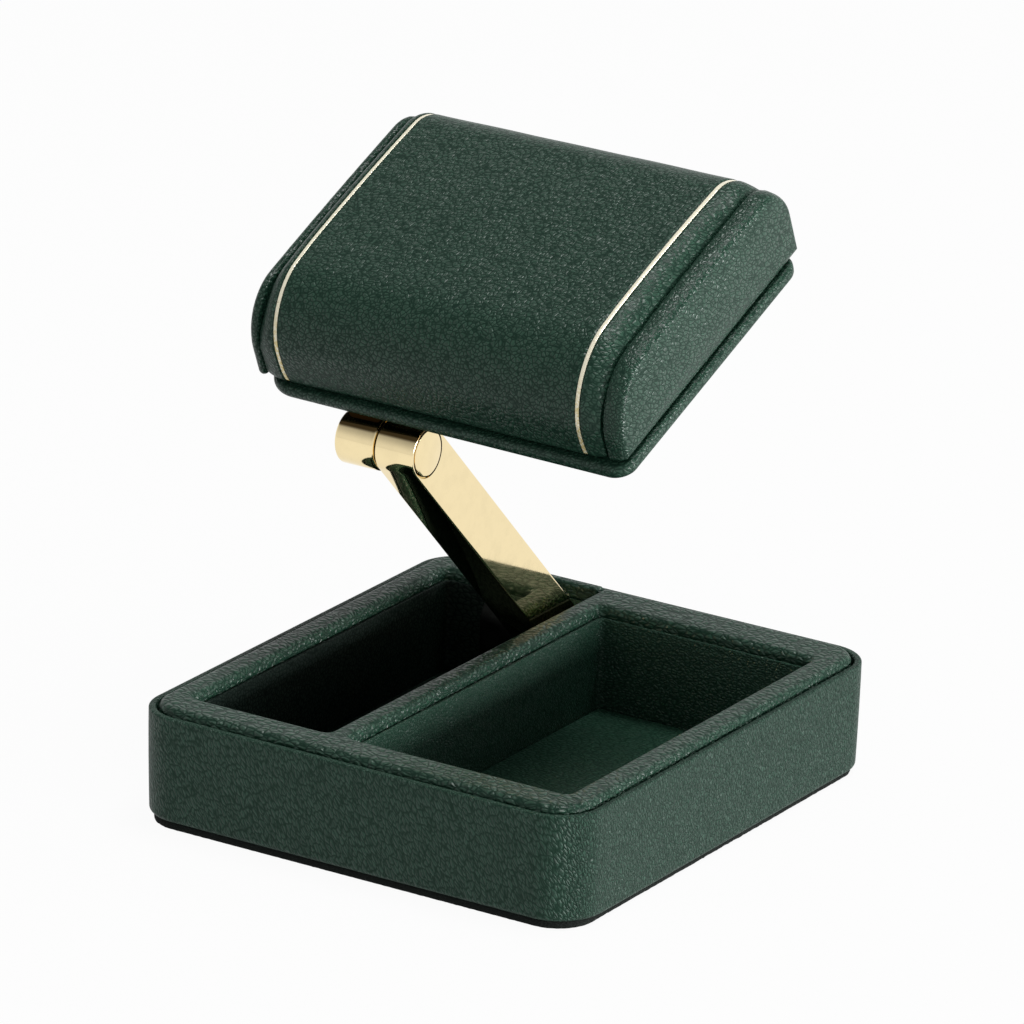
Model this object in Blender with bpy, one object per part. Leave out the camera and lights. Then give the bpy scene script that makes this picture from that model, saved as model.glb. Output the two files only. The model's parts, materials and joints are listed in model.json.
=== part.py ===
"""Travel watch stand: a leather covered tray and a folding arm that carries a watch cushion.

World frame: origin at the centre of the tray's underside, +Z up. +Y runs from the tray's front
to its back, where the arm is hinged, and +X runs to the right when seen from the front.
"""
import math

import bmesh
import bpy
from mathutils import Vector

MM = 0.001

# Clearances shared by all pieces
SEAT_GAP = 0.3 * MM
HINGE_GAP = 0.35 * MM
CUT_OVERRUN = 1.0 * MM
MERGE_DISTANCE = 0.001 * MM

# Tray, outside
TRAY_WIDTH = 110.0 * MM
TRAY_DEPTH = 122.0 * MM
TRAY_CORNER = 10.2 * MM
LIP_HEIGHT = 25.2 * MM
LIP_WIDTH = 1.6 * MM
LIP_ROUND = 0.6 * MM
WALL_THICKNESS = 5.0 * MM
WALL_LEAN = 0.45 * MM
WALL_TURN_IN = 2.6 * MM
FOOT_INSET = 1.6 * MM
FOOT_THICKNESS = 1.0 * MM
FOOT_EDGE_ROUND = 0.3 * MM
BOARD_THICKNESS = 1.2 * MM

# Padded frame on top of the tray
FRAME_CROWN = 1.2 * MM
FRAME_THICKNESS = 3.2 * MM
FRAME_GROOVE = 0.5 * MM
FRAME_ROLL_RUN = 1.5 * MM
FRAME_ROLL_RISE = 1.7 * MM
LEFT_BAR = 8.4 * MM
RIGHT_BAR = 9.0 * MM
FRONT_BAR = 11.4 * MM
BACK_BAR = 13.2 * MM
DIVIDER_WIDTH = 5.6 * MM
LEFT_WINDOW_WIDTH = 33.8 * MM
NOTCH_WIDTH = 24.2 * MM
NOTCH_END_ROUND = 3.0 * MM
NOTCH_SIDE_ROUND = 1.7 * MM
WINDOW_CORNER = 1.2 * MM

# Linings and floors of the two compartments
LINER_THICKNESS = 0.8 * MM
LINER_GROOVE = 0.35 * MM
LINER_BELOW_LIP = 1.0 * MM
FLOOR_PAD_THICKNESS = 1.0 * MM
FLOOR_PAD_ROUND = 0.4 * MM

# Arm and its two hinges
ARM_LENGTH = 82.4 * MM
ARM_THICKNESS = 9.65 * MM
HUB_RADIUS = 5.9 * MM
ARM_EDGE = 0.4 * MM
ARM_FROM_DIVIDER = 2.2 * MM
ARM_LEAN_DEG = 44.7
LOWER_PIVOT_HEIGHT = 17.5 * MM
LOWER_PIVOT_FROM_BACK = 11.65 * MM
KNUCKLE_LENGTH = 10.0 * MM
KNUCKLE_EDGE = 0.7 * MM
PIN_RADIUS = 2.2 * MM
PIN_CAP_RADIUS = 5.0 * MM
PIN_CAP_SINK = 0.8 * MM
PIN_CAP_PROUD = 0.4 * MM
PIN_CAP_EDGE = 0.25 * MM
PIN_END_COVER = 1.8 * MM
WASHER_RADIUS = 4.4 * MM
WASHER_THICKNESS = 0.8 * MM

# Lower hinge bracket and the block under it
HINGE_BLOCK_DEPTH = 12.0 * MM
HINGE_BLOCK_THICKNESS = 5.5 * MM
BRACKET_FOOT_THICKNESS = 1.5 * MM
BRACKET_FOOT_MARGIN = 0.3 * MM

# Countersunk screws
SCREW_HEAD_RADIUS = 2.3 * MM
SCREW_SHANK_RADIUS = 1.2 * MM
SCREW_HEAD_DEPTH = 1.1 * MM
SCREW_RECESS_RADIUS = 0.9 * MM
SCREW_RECESS_DEPTH = 0.6 * MM
SCREW_TIP = 0.6 * MM
LOWER_SCREW_LENGTH = 5.0 * MM
UPPER_SCREW_LENGTH = 9.5 * MM
LOWER_SCREW_SPACING = 5.6 * MM
UPPER_SCREW_SPACING = 9.0 * MM

# Cushion, in its own tilted frame whose origin is the upper hinge axis
CUSHION_TILT_DEG = 23.17
CUSHION_FROM_ARM = 3.4 * MM
CUSHION_LENGTH = 94.0 * MM
CUSHION_FRONT = 0.3 * MM
CUSHION_DEPTH = 73.3 * MM
CUSHION_HEIGHT = 21.7 * MM
CUSHION_CROWN = 1.1 * MM
CUSHION_BELLY = 0.5 * MM
CUSHION_SWELL = 0.6 * MM
CUSHION_FRONT_ROUND = 15.0 * MM
CUSHION_BACK_ROUND = 10.7 * MM
CUSHION_FOOT_ROUND = 1.5 * MM
PAD_THICKNESS = 6.0 * MM
PAD_TURN_UNDER = 0.8 * MM
PAD_END_DROP = 2.4 * MM
PAD_END_RUN = 4.0 * MM
PANEL_THICKNESS = 4.6 * MM
PANEL_SET_IN = 0.5 * MM
PANEL_TOP_DROP = 1.4 * MM
PANEL_CROWN = 0.6 * MM
PANEL_FRONT_ROUND = 11.0 * MM
PANEL_BACK_ROUND = 10.0 * MM
PANEL_FOOT_ROUND = 1.8 * MM
PANEL_SEAM_ROLL = 0.9 * MM
PANEL_EDGE_ROLL = 1.6 * MM
PANEL_PUFF = 1.0 * MM
GOLD_FROM_SEAM = 5.35 * MM
GOLD_WIDTH = 1.1 * MM
GOLD_THICKNESS = 0.35 * MM
PLATE_LENGTH = 91.0 * MM
PLATE_FROM_CENTRE = 2.0 * MM
PLATE_DEPTH = 73.3 * MM
PLATE_THICKNESS = 3.0 * MM
PLATE_CORNER = 6.0 * MM
PLATE_EDGE_ROUND = 1.2 * MM
PLATE_ABOVE_HUB = 1.1 * MM
PLATE_OVERHANG = 1.0 * MM
LEAF_LENGTH = 25.0 * MM
LEAF_THICKNESS = 2.0 * MM
LEAF_CORNER = 2.0 * MM
LEAF_SCREW_START = 11.5 * MM

# Shares along a run, chosen by hand: first how far along, then how much of the full effect
RAIL_CHAMFER_SHARE = 0.85
WALL_LEAN_SHARES = ((0.3, 0.55), (0.65, 0.15), (1.0, 0.0))
PAD_END_SHARES = ((0.0, 1.0), (0.12, 0.62), (0.35, 0.28), (0.7, 0.06))
PAD_MIDDLE_SHARES = (0.15, 0.5, 0.85)
PANEL_PUFF_SHARE = 0.6
SCREW_SHOULDER_SHARE = 0.2

# Facets
LARGE_CORNER_STEPS = 8
SMALL_CORNER_STEPS = 4
ROLL_STEPS = 4
ROUND_SIDES = 32
SMALL_ROUND_SIDES = 16
SMOOTH_ANGLE_DEG = 38.0
ARCH_STEPS = 6
FOOT_STEPS = 2

# Levels of the tray, from the floor up
BOARD_BOTTOM = FOOT_THICKNESS + SEAT_GAP
BOARD_TOP = BOARD_BOTTOM + BOARD_THICKNESS
INSIDE_BOTTOM = BOARD_TOP + SEAT_GAP
FRAME_TOP = LIP_HEIGHT + FRAME_CROWN
FRAME_BOTTOM = FRAME_TOP - FRAME_THICKNESS
SHELF_LEVEL = FRAME_BOTTOM - SEAT_GAP
LINER_TOP = LIP_HEIGHT - LINER_BELOW_LIP

# Plan of the tray
HALF_WIDTH = TRAY_WIDTH / 2
HALF_DEPTH = TRAY_DEPTH / 2
INNER_X = HALF_WIDTH - WALL_THICKNESS
INNER_Y = HALF_DEPTH - WALL_THICKNESS
RAIL_X = INNER_X - SEAT_GAP
RAIL_Y = INNER_Y - SEAT_GAP
RAIL_CHAMFER = (TRAY_CORNER - WALL_THICKNESS) * RAIL_CHAMFER_SHARE
WINDOW_LEFT = -HALF_WIDTH + LEFT_BAR
WINDOW_RIGHT = HALF_WIDTH - RIGHT_BAR
WINDOW_FRONT = -HALF_DEPTH + FRONT_BAR
WINDOW_BACK = HALF_DEPTH - BACK_BAR
DIVIDER_LEFT = WINDOW_LEFT + LEFT_WINDOW_WIDTH
DIVIDER_RIGHT = DIVIDER_LEFT + DIVIDER_WIDTH
NOTCH_LEFT = DIVIDER_LEFT - NOTCH_WIDTH

# A liner stands inside its window: its outer face, then its inner face
LINER_OUT = LINER_GROOVE
LINER_IN = LINER_GROOVE + LINER_THICKNESS
RAIL_BACKSET = LINER_OUT - SEAT_GAP

# Arm and hinge places
ARM_RIGHT = DIVIDER_LEFT - ARM_FROM_DIVIDER
ARM_LEFT = ARM_RIGHT - ARM_THICKNESS
KNUCKLE_RIGHT = ARM_LEFT - HINGE_GAP
KNUCKLE_LEFT = KNUCKLE_RIGHT - KNUCKLE_LENGTH
LOWER_PIVOT_Y = HALF_DEPTH - LOWER_PIVOT_FROM_BACK
PIN_BORE_RADIUS = PIN_RADIUS + SEAT_GAP
WASHER_SEAT_RADIUS = WASHER_RADIUS + SEAT_GAP
WASHER_SEAT_DEPTH = WASHER_THICKNESS + SEAT_GAP
CAP_SEAT_RADIUS = PIN_CAP_RADIUS + SEAT_GAP
CAP_SEAT_DEPTH = PIN_CAP_SINK + SEAT_GAP
PIN_END = KNUCKLE_LEFT + PIN_END_COVER

# Lower bracket
BLOCK_TOP = INSIDE_BOTTOM + HINGE_BLOCK_THICKNESS
BLOCK_LEFT = NOTCH_LEFT + LINER_IN + SEAT_GAP
BLOCK_RIGHT = DIVIDER_LEFT - LINER_IN - SEAT_GAP
BLOCK_BACK = RAIL_Y
BLOCK_FRONT = BLOCK_BACK - HINGE_BLOCK_DEPTH
FOOT_PLATE_BOTTOM = BLOCK_TOP + SEAT_GAP
FOOT_PLATE_TOP = FOOT_PLATE_BOTTOM + BRACKET_FOOT_THICKNESS

# Cushion levels, measured square to its plate from the upper hinge axis
CUSHION_CENTRE_X = ARM_RIGHT + CUSHION_FROM_ARM
PLATE_BOTTOM = HUB_RADIUS + PLATE_ABOVE_HUB
PLATE_TOP = PLATE_BOTTOM + PLATE_THICKNESS
CUSHION_BOTTOM = PLATE_TOP + SEAT_GAP
CUSHION_TOP = CUSHION_BOTTOM + CUSHION_HEIGHT
CUSHION_BACK = CUSHION_FRONT + CUSHION_DEPTH
PLATE_FRONT = -PLATE_OVERHANG
SEAM_LEFT = CUSHION_CENTRE_X - CUSHION_LENGTH / 2 + PANEL_THICKNESS
SEAM_RIGHT = CUSHION_CENTRE_X + CUSHION_LENGTH / 2 - PANEL_THICKNESS
LEAF_TOP = PLATE_BOTTOM - SEAT_GAP
LEAF_BOTTOM = LEAF_TOP - LEAF_THICKNESS
LEAF_RIGHT = KNUCKLE_RIGHT
LEAF_LEFT = KNUCKLE_LEFT


# Scene helpers

def clear_scene():
    """Remove every object that the open file holds."""
    for item in list(bpy.data.objects):
        bpy.data.objects.remove(item, do_unlink=True)


def make_material(name, colour, roughness, metallic=0.0):
    """A Principled material with one colour."""
    made = bpy.data.materials.new(name)
    made.use_nodes = True
    made.diffuse_color = (*colour, 1.0)
    shader = made.node_tree.nodes["Principled BSDF"]
    shader.inputs["Base Color"].default_value = (*colour, 1.0)
    shader.inputs["Roughness"].default_value = roughness
    shader.inputs["Metallic"].default_value = metallic
    return made


def add_empty(name, location, tilt, parent=None):
    """An empty on a hinge axis, turned about X."""
    empty = bpy.data.objects.new(name, None)
    bpy.context.scene.collection.objects.link(empty)
    empty.location = location
    empty.rotation_euler = (tilt, 0.0, 0.0)
    empty.parent = parent
    return empty


def add_mesh(name, shape, finish=None, parent=None):
    """Turn a bmesh into an object with outward faces and smooth round sides."""
    bmesh.ops.recalc_face_normals(shape, faces=shape.faces)
    mesh = bpy.data.meshes.new(name)
    shape.to_mesh(mesh)
    shape.free()
    mesh.shade_smooth()
    mesh.set_sharp_from_angle(angle=math.radians(SMOOTH_ANGLE_DEG))
    made = bpy.data.objects.new(name, mesh)
    bpy.context.scene.collection.objects.link(made)
    made.parent = parent
    if finish:
        mesh.materials.append(finish)
    return made


def boolean(target, tool, operation):
    """Apply a tool body to a target with a Boolean modifier and hide the tool."""
    tool.hide_render = True
    tool.display_type = "WIRE"
    step = target.modifiers.new(tool.name, "BOOLEAN")
    step.operation = operation
    step.solver = "EXACT"
    step.object = tool


# Shape helpers

def outline(corners, inset=0.0, steps=SMALL_CORNER_STEPS, large=0.0):
    """Points of a counter-clockwise outline whose corners are arcs, moved inward by inset.

    Each corner is x, y and its radius. Corners of at least the large radius get more steps.
    """
    points = []
    for index in range(len(corners)):
        count = LARGE_CORNER_STEPS if large and corners[index][2] >= large else steps
        for point in corner_arc(corners, index, inset, count):
            if not points or (point - points[-1]).length > MERGE_DISTANCE:
                points.append(point)
    if (points[0] - points[-1]).length <= MERGE_DISTANCE:
        points.pop()
    return points


def corner_arc(corners, index, inset, steps):
    """The arc at one corner of an outline that is moved inward by inset."""
    before = Vector(corners[index - 1][:2])
    here = Vector(corners[index][:2])
    after = Vector(corners[(index + 1) % len(corners)][:2])
    arrive = (here - before).normalized()
    leave = (after - here).normalized()
    side = 1.0 if arrive.cross(leave) > 0 else -1.0
    left_a = Vector((-arrive.y, arrive.x))
    left_b = Vector((-leave.y, leave.x))
    toward = (left_a + left_b) / (1.0 + left_a.dot(left_b))
    bend = max(corners[index][2] - side * inset, 0.0)
    centre = here + toward * inset + toward * side * bend
    start = math.atan2(-side * left_a.y, -side * left_a.x)
    sweep = math.atan2(arrive.cross(leave), arrive.dot(leave))
    points = []
    for step in range(steps + 1):
        angle = start + sweep * step / steps
        points.append(centre + Vector((math.cos(angle), math.sin(angle))) * bend)
    return points


def between(start, end, steps):
    """Inner points of a straight run."""
    return [start.lerp(end, step / steps) for step in range(1, steps)]


def roll(run, rise, start=(0.0, 0.0), steps=ROLL_STEPS):
    """A quarter ellipse from straight up to flat, as offsets inward and upward."""
    points = []
    for step in range(steps + 1):
        angle = math.pi / 2 * step / steps
        points.append((start[0] + run * (1 - math.cos(angle)), start[1] + rise * math.sin(angle)))
    return points


def circle(radius, sides):
    """Points of a circle, counter-clockwise."""
    turns = [2 * math.pi * side / sides for side in range(sides)]
    return [Vector((radius * math.cos(turn), radius * math.sin(turn))) for turn in turns]


def flat(points, height):
    """Lay plan points at a height."""
    return [(point.x, point.y, height) for point in points]


def across(points, x):
    """Stand section points, as y and z, in the plane at x."""
    return [(x, point.x, point.y) for point in points]


def bridge(shape, first, second):
    """Join two rings of vertices that have the same count with quads."""
    count = len(first)
    for index in range(count):
        after = (index + 1) % count
        shape.faces.new((first[index], first[after], second[after], second[index]))


def loft(name, rings, finish=None, parent=None, ends="face"):
    """A closed body through rings of points: ends are faces, folded strips or one loop."""
    shape = bmesh.new()
    loops = [[shape.verts.new(point) for point in ring] for ring in rings]
    for first, second in zip(loops, loops[1:]):
        bridge(shape, first, second)
    if ends == "loop":
        bridge(shape, loops[-1], loops[0])
    elif ends == "strip":
        half = len(loops[0]) // 2
        for loop in (loops[0], loops[-1]):
            for index in range(half - 1):
                far = 2 * half - 1 - index
                shape.faces.new((loop[index], loop[index + 1], loop[far - 1], loop[far]))
    else:
        shape.faces.new(loops[0])
        shape.faces.new(loops[-1])
    return add_mesh(name, shape, finish, parent)


def windowed_plate(name, ring_sets, finish):
    """A flat body with windows: each set of rings climbs one edge from the underside to the top."""
    shape = bmesh.new()
    low_edges = []
    high_edges = []
    for rings in ring_sets:
        loops = [[shape.verts.new(point) for point in ring] for ring in rings]
        for first, second in zip(loops, loops[1:]):
            bridge(shape, first, second)
        for loop, edges in ((loops[0], low_edges), (loops[-1], high_edges)):
            for index, vertex in enumerate(loop):
                edges.append(shape.edges.get((vertex, loop[(index + 1) % len(loop)])))
    for edges, way in ((low_edges, -1.0), (high_edges, 1.0)):
        bmesh.ops.triangle_fill(shape, edges=edges, use_beauty=True, normal=(0.0, 0.0, way))
    return add_mesh(name, shape, finish)


def slab(name, corners, bottom, top, finish, steps=SMALL_CORNER_STEPS, edge=0.0):
    """An upright slab over an outline, with its top edge rounded by edge."""
    rings = [flat(outline(corners, 0.0, steps), bottom)]
    if edge:
        for inset, rise in roll(edge, edge, steps=2):
            rings.append(flat(outline(corners, inset, steps), top - edge + rise))
    else:
        rings.append(flat(outline(corners, 0.0, steps), top))
    return loft(name, rings, finish)


def square(left, front, right, back, radius=0.0):
    """Counter-clockwise corners of a rectangle."""
    return ((left, front, radius), (right, front, radius), (right, back, radius), (left, back, radius))


def turned(name, profile, sides, finish=None, parent=None, ends="face"):
    """A body turned about X from a profile of x and radius."""
    rings = [across(circle(radius, sides), x) for x, radius in profile]
    return loft(name, rings, finish, parent, ends)


# Tray

def tray_outline(inset):
    """The tray's plan, moved inward."""
    corners = square(-HALF_WIDTH, -HALF_DEPTH, HALF_WIDTH, HALF_DEPTH, TRAY_CORNER)
    return outline(corners, inset, LARGE_CORNER_STEPS)


def build_foot(finish):
    """Thin felt sheet under the tray."""
    rings = [flat(tray_outline(FOOT_INSET), 0.0)]
    for inset, rise in roll(FOOT_EDGE_ROUND, FOOT_EDGE_ROUND, steps=2):
        rings.append(flat(tray_outline(FOOT_INSET + inset), FOOT_THICKNESS - FOOT_EDGE_ROUND + rise))
    loft("felt_foot", rings, finish)


def build_bottom_board(finish):
    """Board that closes the tray inside its wall."""
    inset = WALL_THICKNESS + SEAT_GAP
    rings = [flat(tray_outline(inset), BOARD_BOTTOM), flat(tray_outline(inset), BOARD_TOP)]
    loft("bottom_board", rings, finish)


def build_outer_wall(finish):
    """Leather wrapped wall: turned in at the floor, leaning out to a thin rolled lip."""
    section = []
    lower = BOARD_BOTTOM + WALL_TURN_IN
    upper = LIP_HEIGHT - LIP_ROUND
    for inset, rise in reversed(roll(WALL_TURN_IN, WALL_TURN_IN)):
        section.append((WALL_LEAN + inset, lower - rise))
    for share, lean in WALL_LEAN_SHARES:
        section.append((WALL_LEAN * lean, lower + (upper - lower) * share))
    for inset, rise in roll(LIP_ROUND, LIP_ROUND, steps=3)[1:]:
        section.append((inset, upper + rise))
    for inset, rise in reversed(roll(LIP_ROUND, LIP_ROUND, steps=3)):
        section.append((LIP_WIDTH - inset, upper + rise))
    section.append((LIP_WIDTH, SHELF_LEVEL))
    section.append((WALL_THICKNESS, SHELF_LEVEL))
    section.append((WALL_THICKNESS, BOARD_BOTTOM))
    rings = [flat(tray_outline(inset), height) for inset, height in section]
    loft("outer_wall", rings, finish, ends="loop")


def rail_corners(left, front, right, back, cut_corners):
    """Corners of a rail, with the named corners cut off to clear the wall's round corners."""
    cut = RAIL_CHAMFER
    corners = []
    for name, x, y, way_x, way_y in (
        ("front_left", left, front, 1, 1),
        ("front_right", right, front, -1, 1),
        ("back_right", right, back, -1, -1),
        ("back_left", left, back, 1, -1),
    ):
        if name not in cut_corners:
            corners.append((x, y, 0.0))
            continue
        along_x = (x + way_x * cut, y, 0.0)
        along_y = (x, y + way_y * cut, 0.0)
        first_along_y = name in ("front_left", "back_right")
        corners.extend((along_y, along_x) if first_along_y else (along_x, along_y))
    return corners


def build_rails(finish):
    """Boards between the wall and the linings, and the board that parts the compartments."""
    rail_front = WINDOW_FRONT + RAIL_BACKSET
    rail_back = WINDOW_BACK - RAIL_BACKSET
    rail_left = WINDOW_LEFT + RAIL_BACKSET
    rail_right = WINDOW_RIGHT - RAIL_BACKSET
    notch_left = NOTCH_LEFT + RAIL_BACKSET
    board_left = DIVIDER_LEFT - RAIL_BACKSET
    board_right = DIVIDER_RIGHT + RAIL_BACKSET
    between_front = rail_front + SEAT_GAP
    between_back = rail_back - SEAT_GAP
    plans = {
        "front_rail": (-RAIL_X, -RAIL_Y, RAIL_X, rail_front, ("front_left", "front_right")),
        "left_rail": (-RAIL_X, between_front, rail_left, between_back, ()),
        "right_rail": (rail_right, between_front, RAIL_X, between_back, ()),
        "back_left_rail": (-RAIL_X, rail_back, notch_left, RAIL_Y, ("back_left",)),
        "back_right_rail": (board_right + SEAT_GAP, rail_back, RAIL_X, RAIL_Y, ("back_right",)),
        "divider_board": (board_left, between_front, board_right, RAIL_Y, ()),
    }
    for name, plan in plans.items():
        points = outline(rail_corners(*plan))
        loft(name, [flat(points, INSIDE_BOTTOM), flat(points, SHELF_LEVEL)], finish)


def build_top_frame(finish):
    """Padded frame with a window over each compartment and a notch for the arm."""
    edge = LIP_WIDTH + FRAME_GROOVE
    x = HALF_WIDTH - edge
    y = HALF_DEPTH - edge
    outer = TRAY_CORNER - edge
    corners = (
        (-x, -y, outer),
        (x, -y, outer),
        (x, y, outer),
        (DIVIDER_LEFT, y, NOTCH_SIDE_ROUND),
        (DIVIDER_LEFT, WINDOW_FRONT, WINDOW_CORNER),
        (WINDOW_LEFT, WINDOW_FRONT, WINDOW_CORNER),
        (WINDOW_LEFT, WINDOW_BACK, WINDOW_CORNER),
        (NOTCH_LEFT, WINDOW_BACK, NOTCH_END_ROUND),
        (NOTCH_LEFT, y, NOTCH_END_ROUND),
        (-x, y, outer),
    )
    window = square(DIVIDER_RIGHT, WINDOW_FRONT, WINDOW_RIGHT, WINDOW_BACK, WINDOW_CORNER)
    edge_profile = [(0.0, FRAME_BOTTOM)]
    edge_profile += roll(FRAME_ROLL_RUN, FRAME_ROLL_RISE, (0.0, FRAME_TOP - FRAME_ROLL_RISE))
    outside = []
    inside = []
    for inset, height in edge_profile:
        outside.append(flat(outline(corners, inset, large=outer), height))
        inside.append(flat(outline(window, -inset), height))
    windowed_plate("top_frame", (outside, inside), finish)


def build_notch_facing(finish):
    """Leather strip on the wall behind the notch, as high as the frame beside it."""
    left = NOTCH_LEFT + SEAT_GAP
    right = DIVIDER_LEFT - SEAT_GAP
    corners = square(left, INNER_Y + SEAT_GAP, right, HALF_DEPTH - LIP_WIDTH - FRAME_GROOVE)
    rings = [flat(outline(corners), FRAME_BOTTOM)]
    for inset, rise in roll(LIP_ROUND, LIP_ROUND, steps=3):
        rings.append(flat(outline(corners, inset), FRAME_TOP - LIP_ROUND + rise))
    loft("notch_facing", rings, finish)


def build_liners(finish):
    """Thin linings of the two compartments; the left one opens into the notch."""
    out = LINER_OUT
    inner = LINER_IN
    small = WINDOW_CORNER
    wide = small + LINER_THICKNESS
    left = (
        (NOTCH_LEFT + out, RAIL_Y, 0.0),
        (NOTCH_LEFT + out, WINDOW_BACK - out, 0.0),
        (WINDOW_LEFT + out, WINDOW_BACK - out, wide),
        (WINDOW_LEFT + out, WINDOW_FRONT + out, wide),
        (DIVIDER_LEFT - out, WINDOW_FRONT + out, wide),
        (DIVIDER_LEFT - out, RAIL_Y, 0.0),
        (DIVIDER_LEFT - inner, RAIL_Y, 0.0),
        (DIVIDER_LEFT - inner, WINDOW_FRONT + inner, small),
        (WINDOW_LEFT + inner, WINDOW_FRONT + inner, small),
        (WINDOW_LEFT + inner, WINDOW_BACK - inner, small),
        (NOTCH_LEFT + inner, WINDOW_BACK - inner, LINER_THICKNESS),
        (NOTCH_LEFT + inner, RAIL_Y, 0.0),
    )
    points = outline(left)
    loft("left_liner", [flat(points, INSIDE_BOTTOM), flat(points, LINER_TOP)], finish)

    window = square(DIVIDER_RIGHT, WINDOW_FRONT, WINDOW_RIGHT, WINDOW_BACK, small + inner)
    outer_ring = outline(window, out)
    inner_ring = outline(window, inner)
    rings = [
        flat(outer_ring, INSIDE_BOTTOM),
        flat(outer_ring, LINER_TOP),
        flat(inner_ring, LINER_TOP),
        flat(inner_ring, INSIDE_BOTTOM),
    ]
    loft("right_liner", rings, finish, ends="loop")


def build_floor_pads(finish):
    """Soft floor of each compartment."""
    gap = LINER_IN + SEAT_GAP
    small = WINDOW_CORNER
    top = INSIDE_BOTTOM + FLOOR_PAD_THICKNESS
    left = (
        (WINDOW_LEFT + gap, WINDOW_FRONT + gap, small),
        (DIVIDER_LEFT - gap, WINDOW_FRONT + gap, small),
        (DIVIDER_LEFT - gap, BLOCK_FRONT - SEAT_GAP, small),
        (BLOCK_LEFT - SEAT_GAP, BLOCK_FRONT - SEAT_GAP, small),
        (BLOCK_LEFT - SEAT_GAP, WINDOW_BACK - gap, small),
        (WINDOW_LEFT + gap, WINDOW_BACK - gap, small),
    )
    right = square(DIVIDER_RIGHT + gap, WINDOW_FRONT + gap, WINDOW_RIGHT - gap, WINDOW_BACK - gap, small)
    slab("left_floor_pad", left, INSIDE_BOTTOM, top, finish, 2, FLOOR_PAD_ROUND)
    slab("right_floor_pad", right, INSIDE_BOTTOM, top, finish, 2, FLOOR_PAD_ROUND)


# Hinges

def screw_body(name, length, finish, parent, location, upward):
    """A countersunk screw whose head faces down, or up, with a socket in the head."""
    way = 1 if upward else -1
    shoulder = SCREW_HEAD_DEPTH * SCREW_SHOULDER_SHARE
    profile = (
        (-SCREW_RECESS_DEPTH, SCREW_RECESS_RADIUS),
        (0.0, SCREW_RECESS_RADIUS),
        (0.0, SCREW_HEAD_RADIUS),
        (-shoulder, SCREW_HEAD_RADIUS),
        (-SCREW_HEAD_DEPTH, SCREW_SHANK_RADIUS),
        (-length + SCREW_TIP, SCREW_SHANK_RADIUS),
        (-length, SCREW_SHANK_RADIUS - SCREW_TIP),
    )
    rings = [flat(circle(radius, SMALL_ROUND_SIDES), way * depth) for depth, radius in profile]
    made = loft(name, rings, finish, parent)
    made.location = location
    return made


def screw_hole(target, length, parent, location, upward):
    """Cut the hole that a countersunk screw needs, open beyond its head."""
    way = 1 if upward else -1
    head = SCREW_HEAD_RADIUS + SEAT_GAP
    shank = SCREW_SHANK_RADIUS + SEAT_GAP
    shoulder = SCREW_HEAD_DEPTH * SCREW_SHOULDER_SHARE
    profile = (
        (CUT_OVERRUN, head),
        (-shoulder, head),
        (-SCREW_HEAD_DEPTH, shank),
        (-length - SEAT_GAP, shank),
    )
    rings = [flat(circle(radius, SMALL_ROUND_SIDES), way * depth) for depth, radius in profile]
    tool = loft(f"{target.name}_screw_hole", rings, parent=parent)
    tool.location = location
    boolean(target, tool, "DIFFERENCE")


def hinge_bores(target, parent, location, cut_arm):
    """Cut a pin's bore and either the arm's cap seat or the knuckle's washer seat."""
    if cut_arm:
        profile = (
            (ARM_RIGHT + CUT_OVERRUN, CAP_SEAT_RADIUS),
            (ARM_RIGHT - CAP_SEAT_DEPTH, CAP_SEAT_RADIUS),
            (ARM_RIGHT - CAP_SEAT_DEPTH, PIN_BORE_RADIUS),
            (ARM_LEFT - CUT_OVERRUN, PIN_BORE_RADIUS),
        )
    else:
        profile = (
            (KNUCKLE_RIGHT + CUT_OVERRUN, WASHER_SEAT_RADIUS),
            (KNUCKLE_RIGHT - WASHER_SEAT_DEPTH, WASHER_SEAT_RADIUS),
            (KNUCKLE_RIGHT - WASHER_SEAT_DEPTH, PIN_BORE_RADIUS),
            (PIN_END - SEAT_GAP, PIN_BORE_RADIUS),
        )
    tool = turned(f"{target.name}_bore", profile, ROUND_SIDES, parent=parent)
    tool.location = location
    boolean(target, tool, "DIFFERENCE")


def build_pin(name, finish, parent, location):
    """Hinge pin: a shaft with a flat round cap that shows on the arm's right face."""
    face = ARM_RIGHT + PIN_CAP_PROUD
    profile = (
        (face, PIN_CAP_RADIUS - PIN_CAP_EDGE),
        (face - PIN_CAP_EDGE, PIN_CAP_RADIUS),
        (ARM_RIGHT - PIN_CAP_SINK, PIN_CAP_RADIUS),
        (ARM_RIGHT - PIN_CAP_SINK, PIN_RADIUS),
        (PIN_END + PIN_CAP_EDGE, PIN_RADIUS),
        (PIN_END, PIN_RADIUS - PIN_CAP_EDGE),
    )
    turned(name, profile, ROUND_SIDES, finish, parent).location = location


def build_washer(name, finish, parent, location):
    """Friction washer sunk in the knuckle's end, round the pin."""
    right = KNUCKLE_RIGHT
    left = right - WASHER_THICKNESS
    profile = (
        (right, WASHER_RADIUS),
        (left, WASHER_RADIUS),
        (left, PIN_BORE_RADIUS),
        (right, PIN_BORE_RADIUS),
    )
    turned(name, profile, ROUND_SIDES, finish, parent, ends="loop").location = location


def knuckle_profile():
    """The knuckle's turned shape: a round barrel with soft ends."""
    points = []
    for inset, rise in roll(KNUCKLE_EDGE, KNUCKLE_EDGE, steps=2):
        points.append((KNUCKLE_RIGHT - KNUCKLE_EDGE + rise, HUB_RADIUS - inset))
    points.reverse()
    for inset, rise in roll(KNUCKLE_EDGE, KNUCKLE_EDGE, steps=2):
        points.append((KNUCKLE_LEFT + KNUCKLE_EDGE - rise, HUB_RADIUS - inset))
    return points


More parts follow.
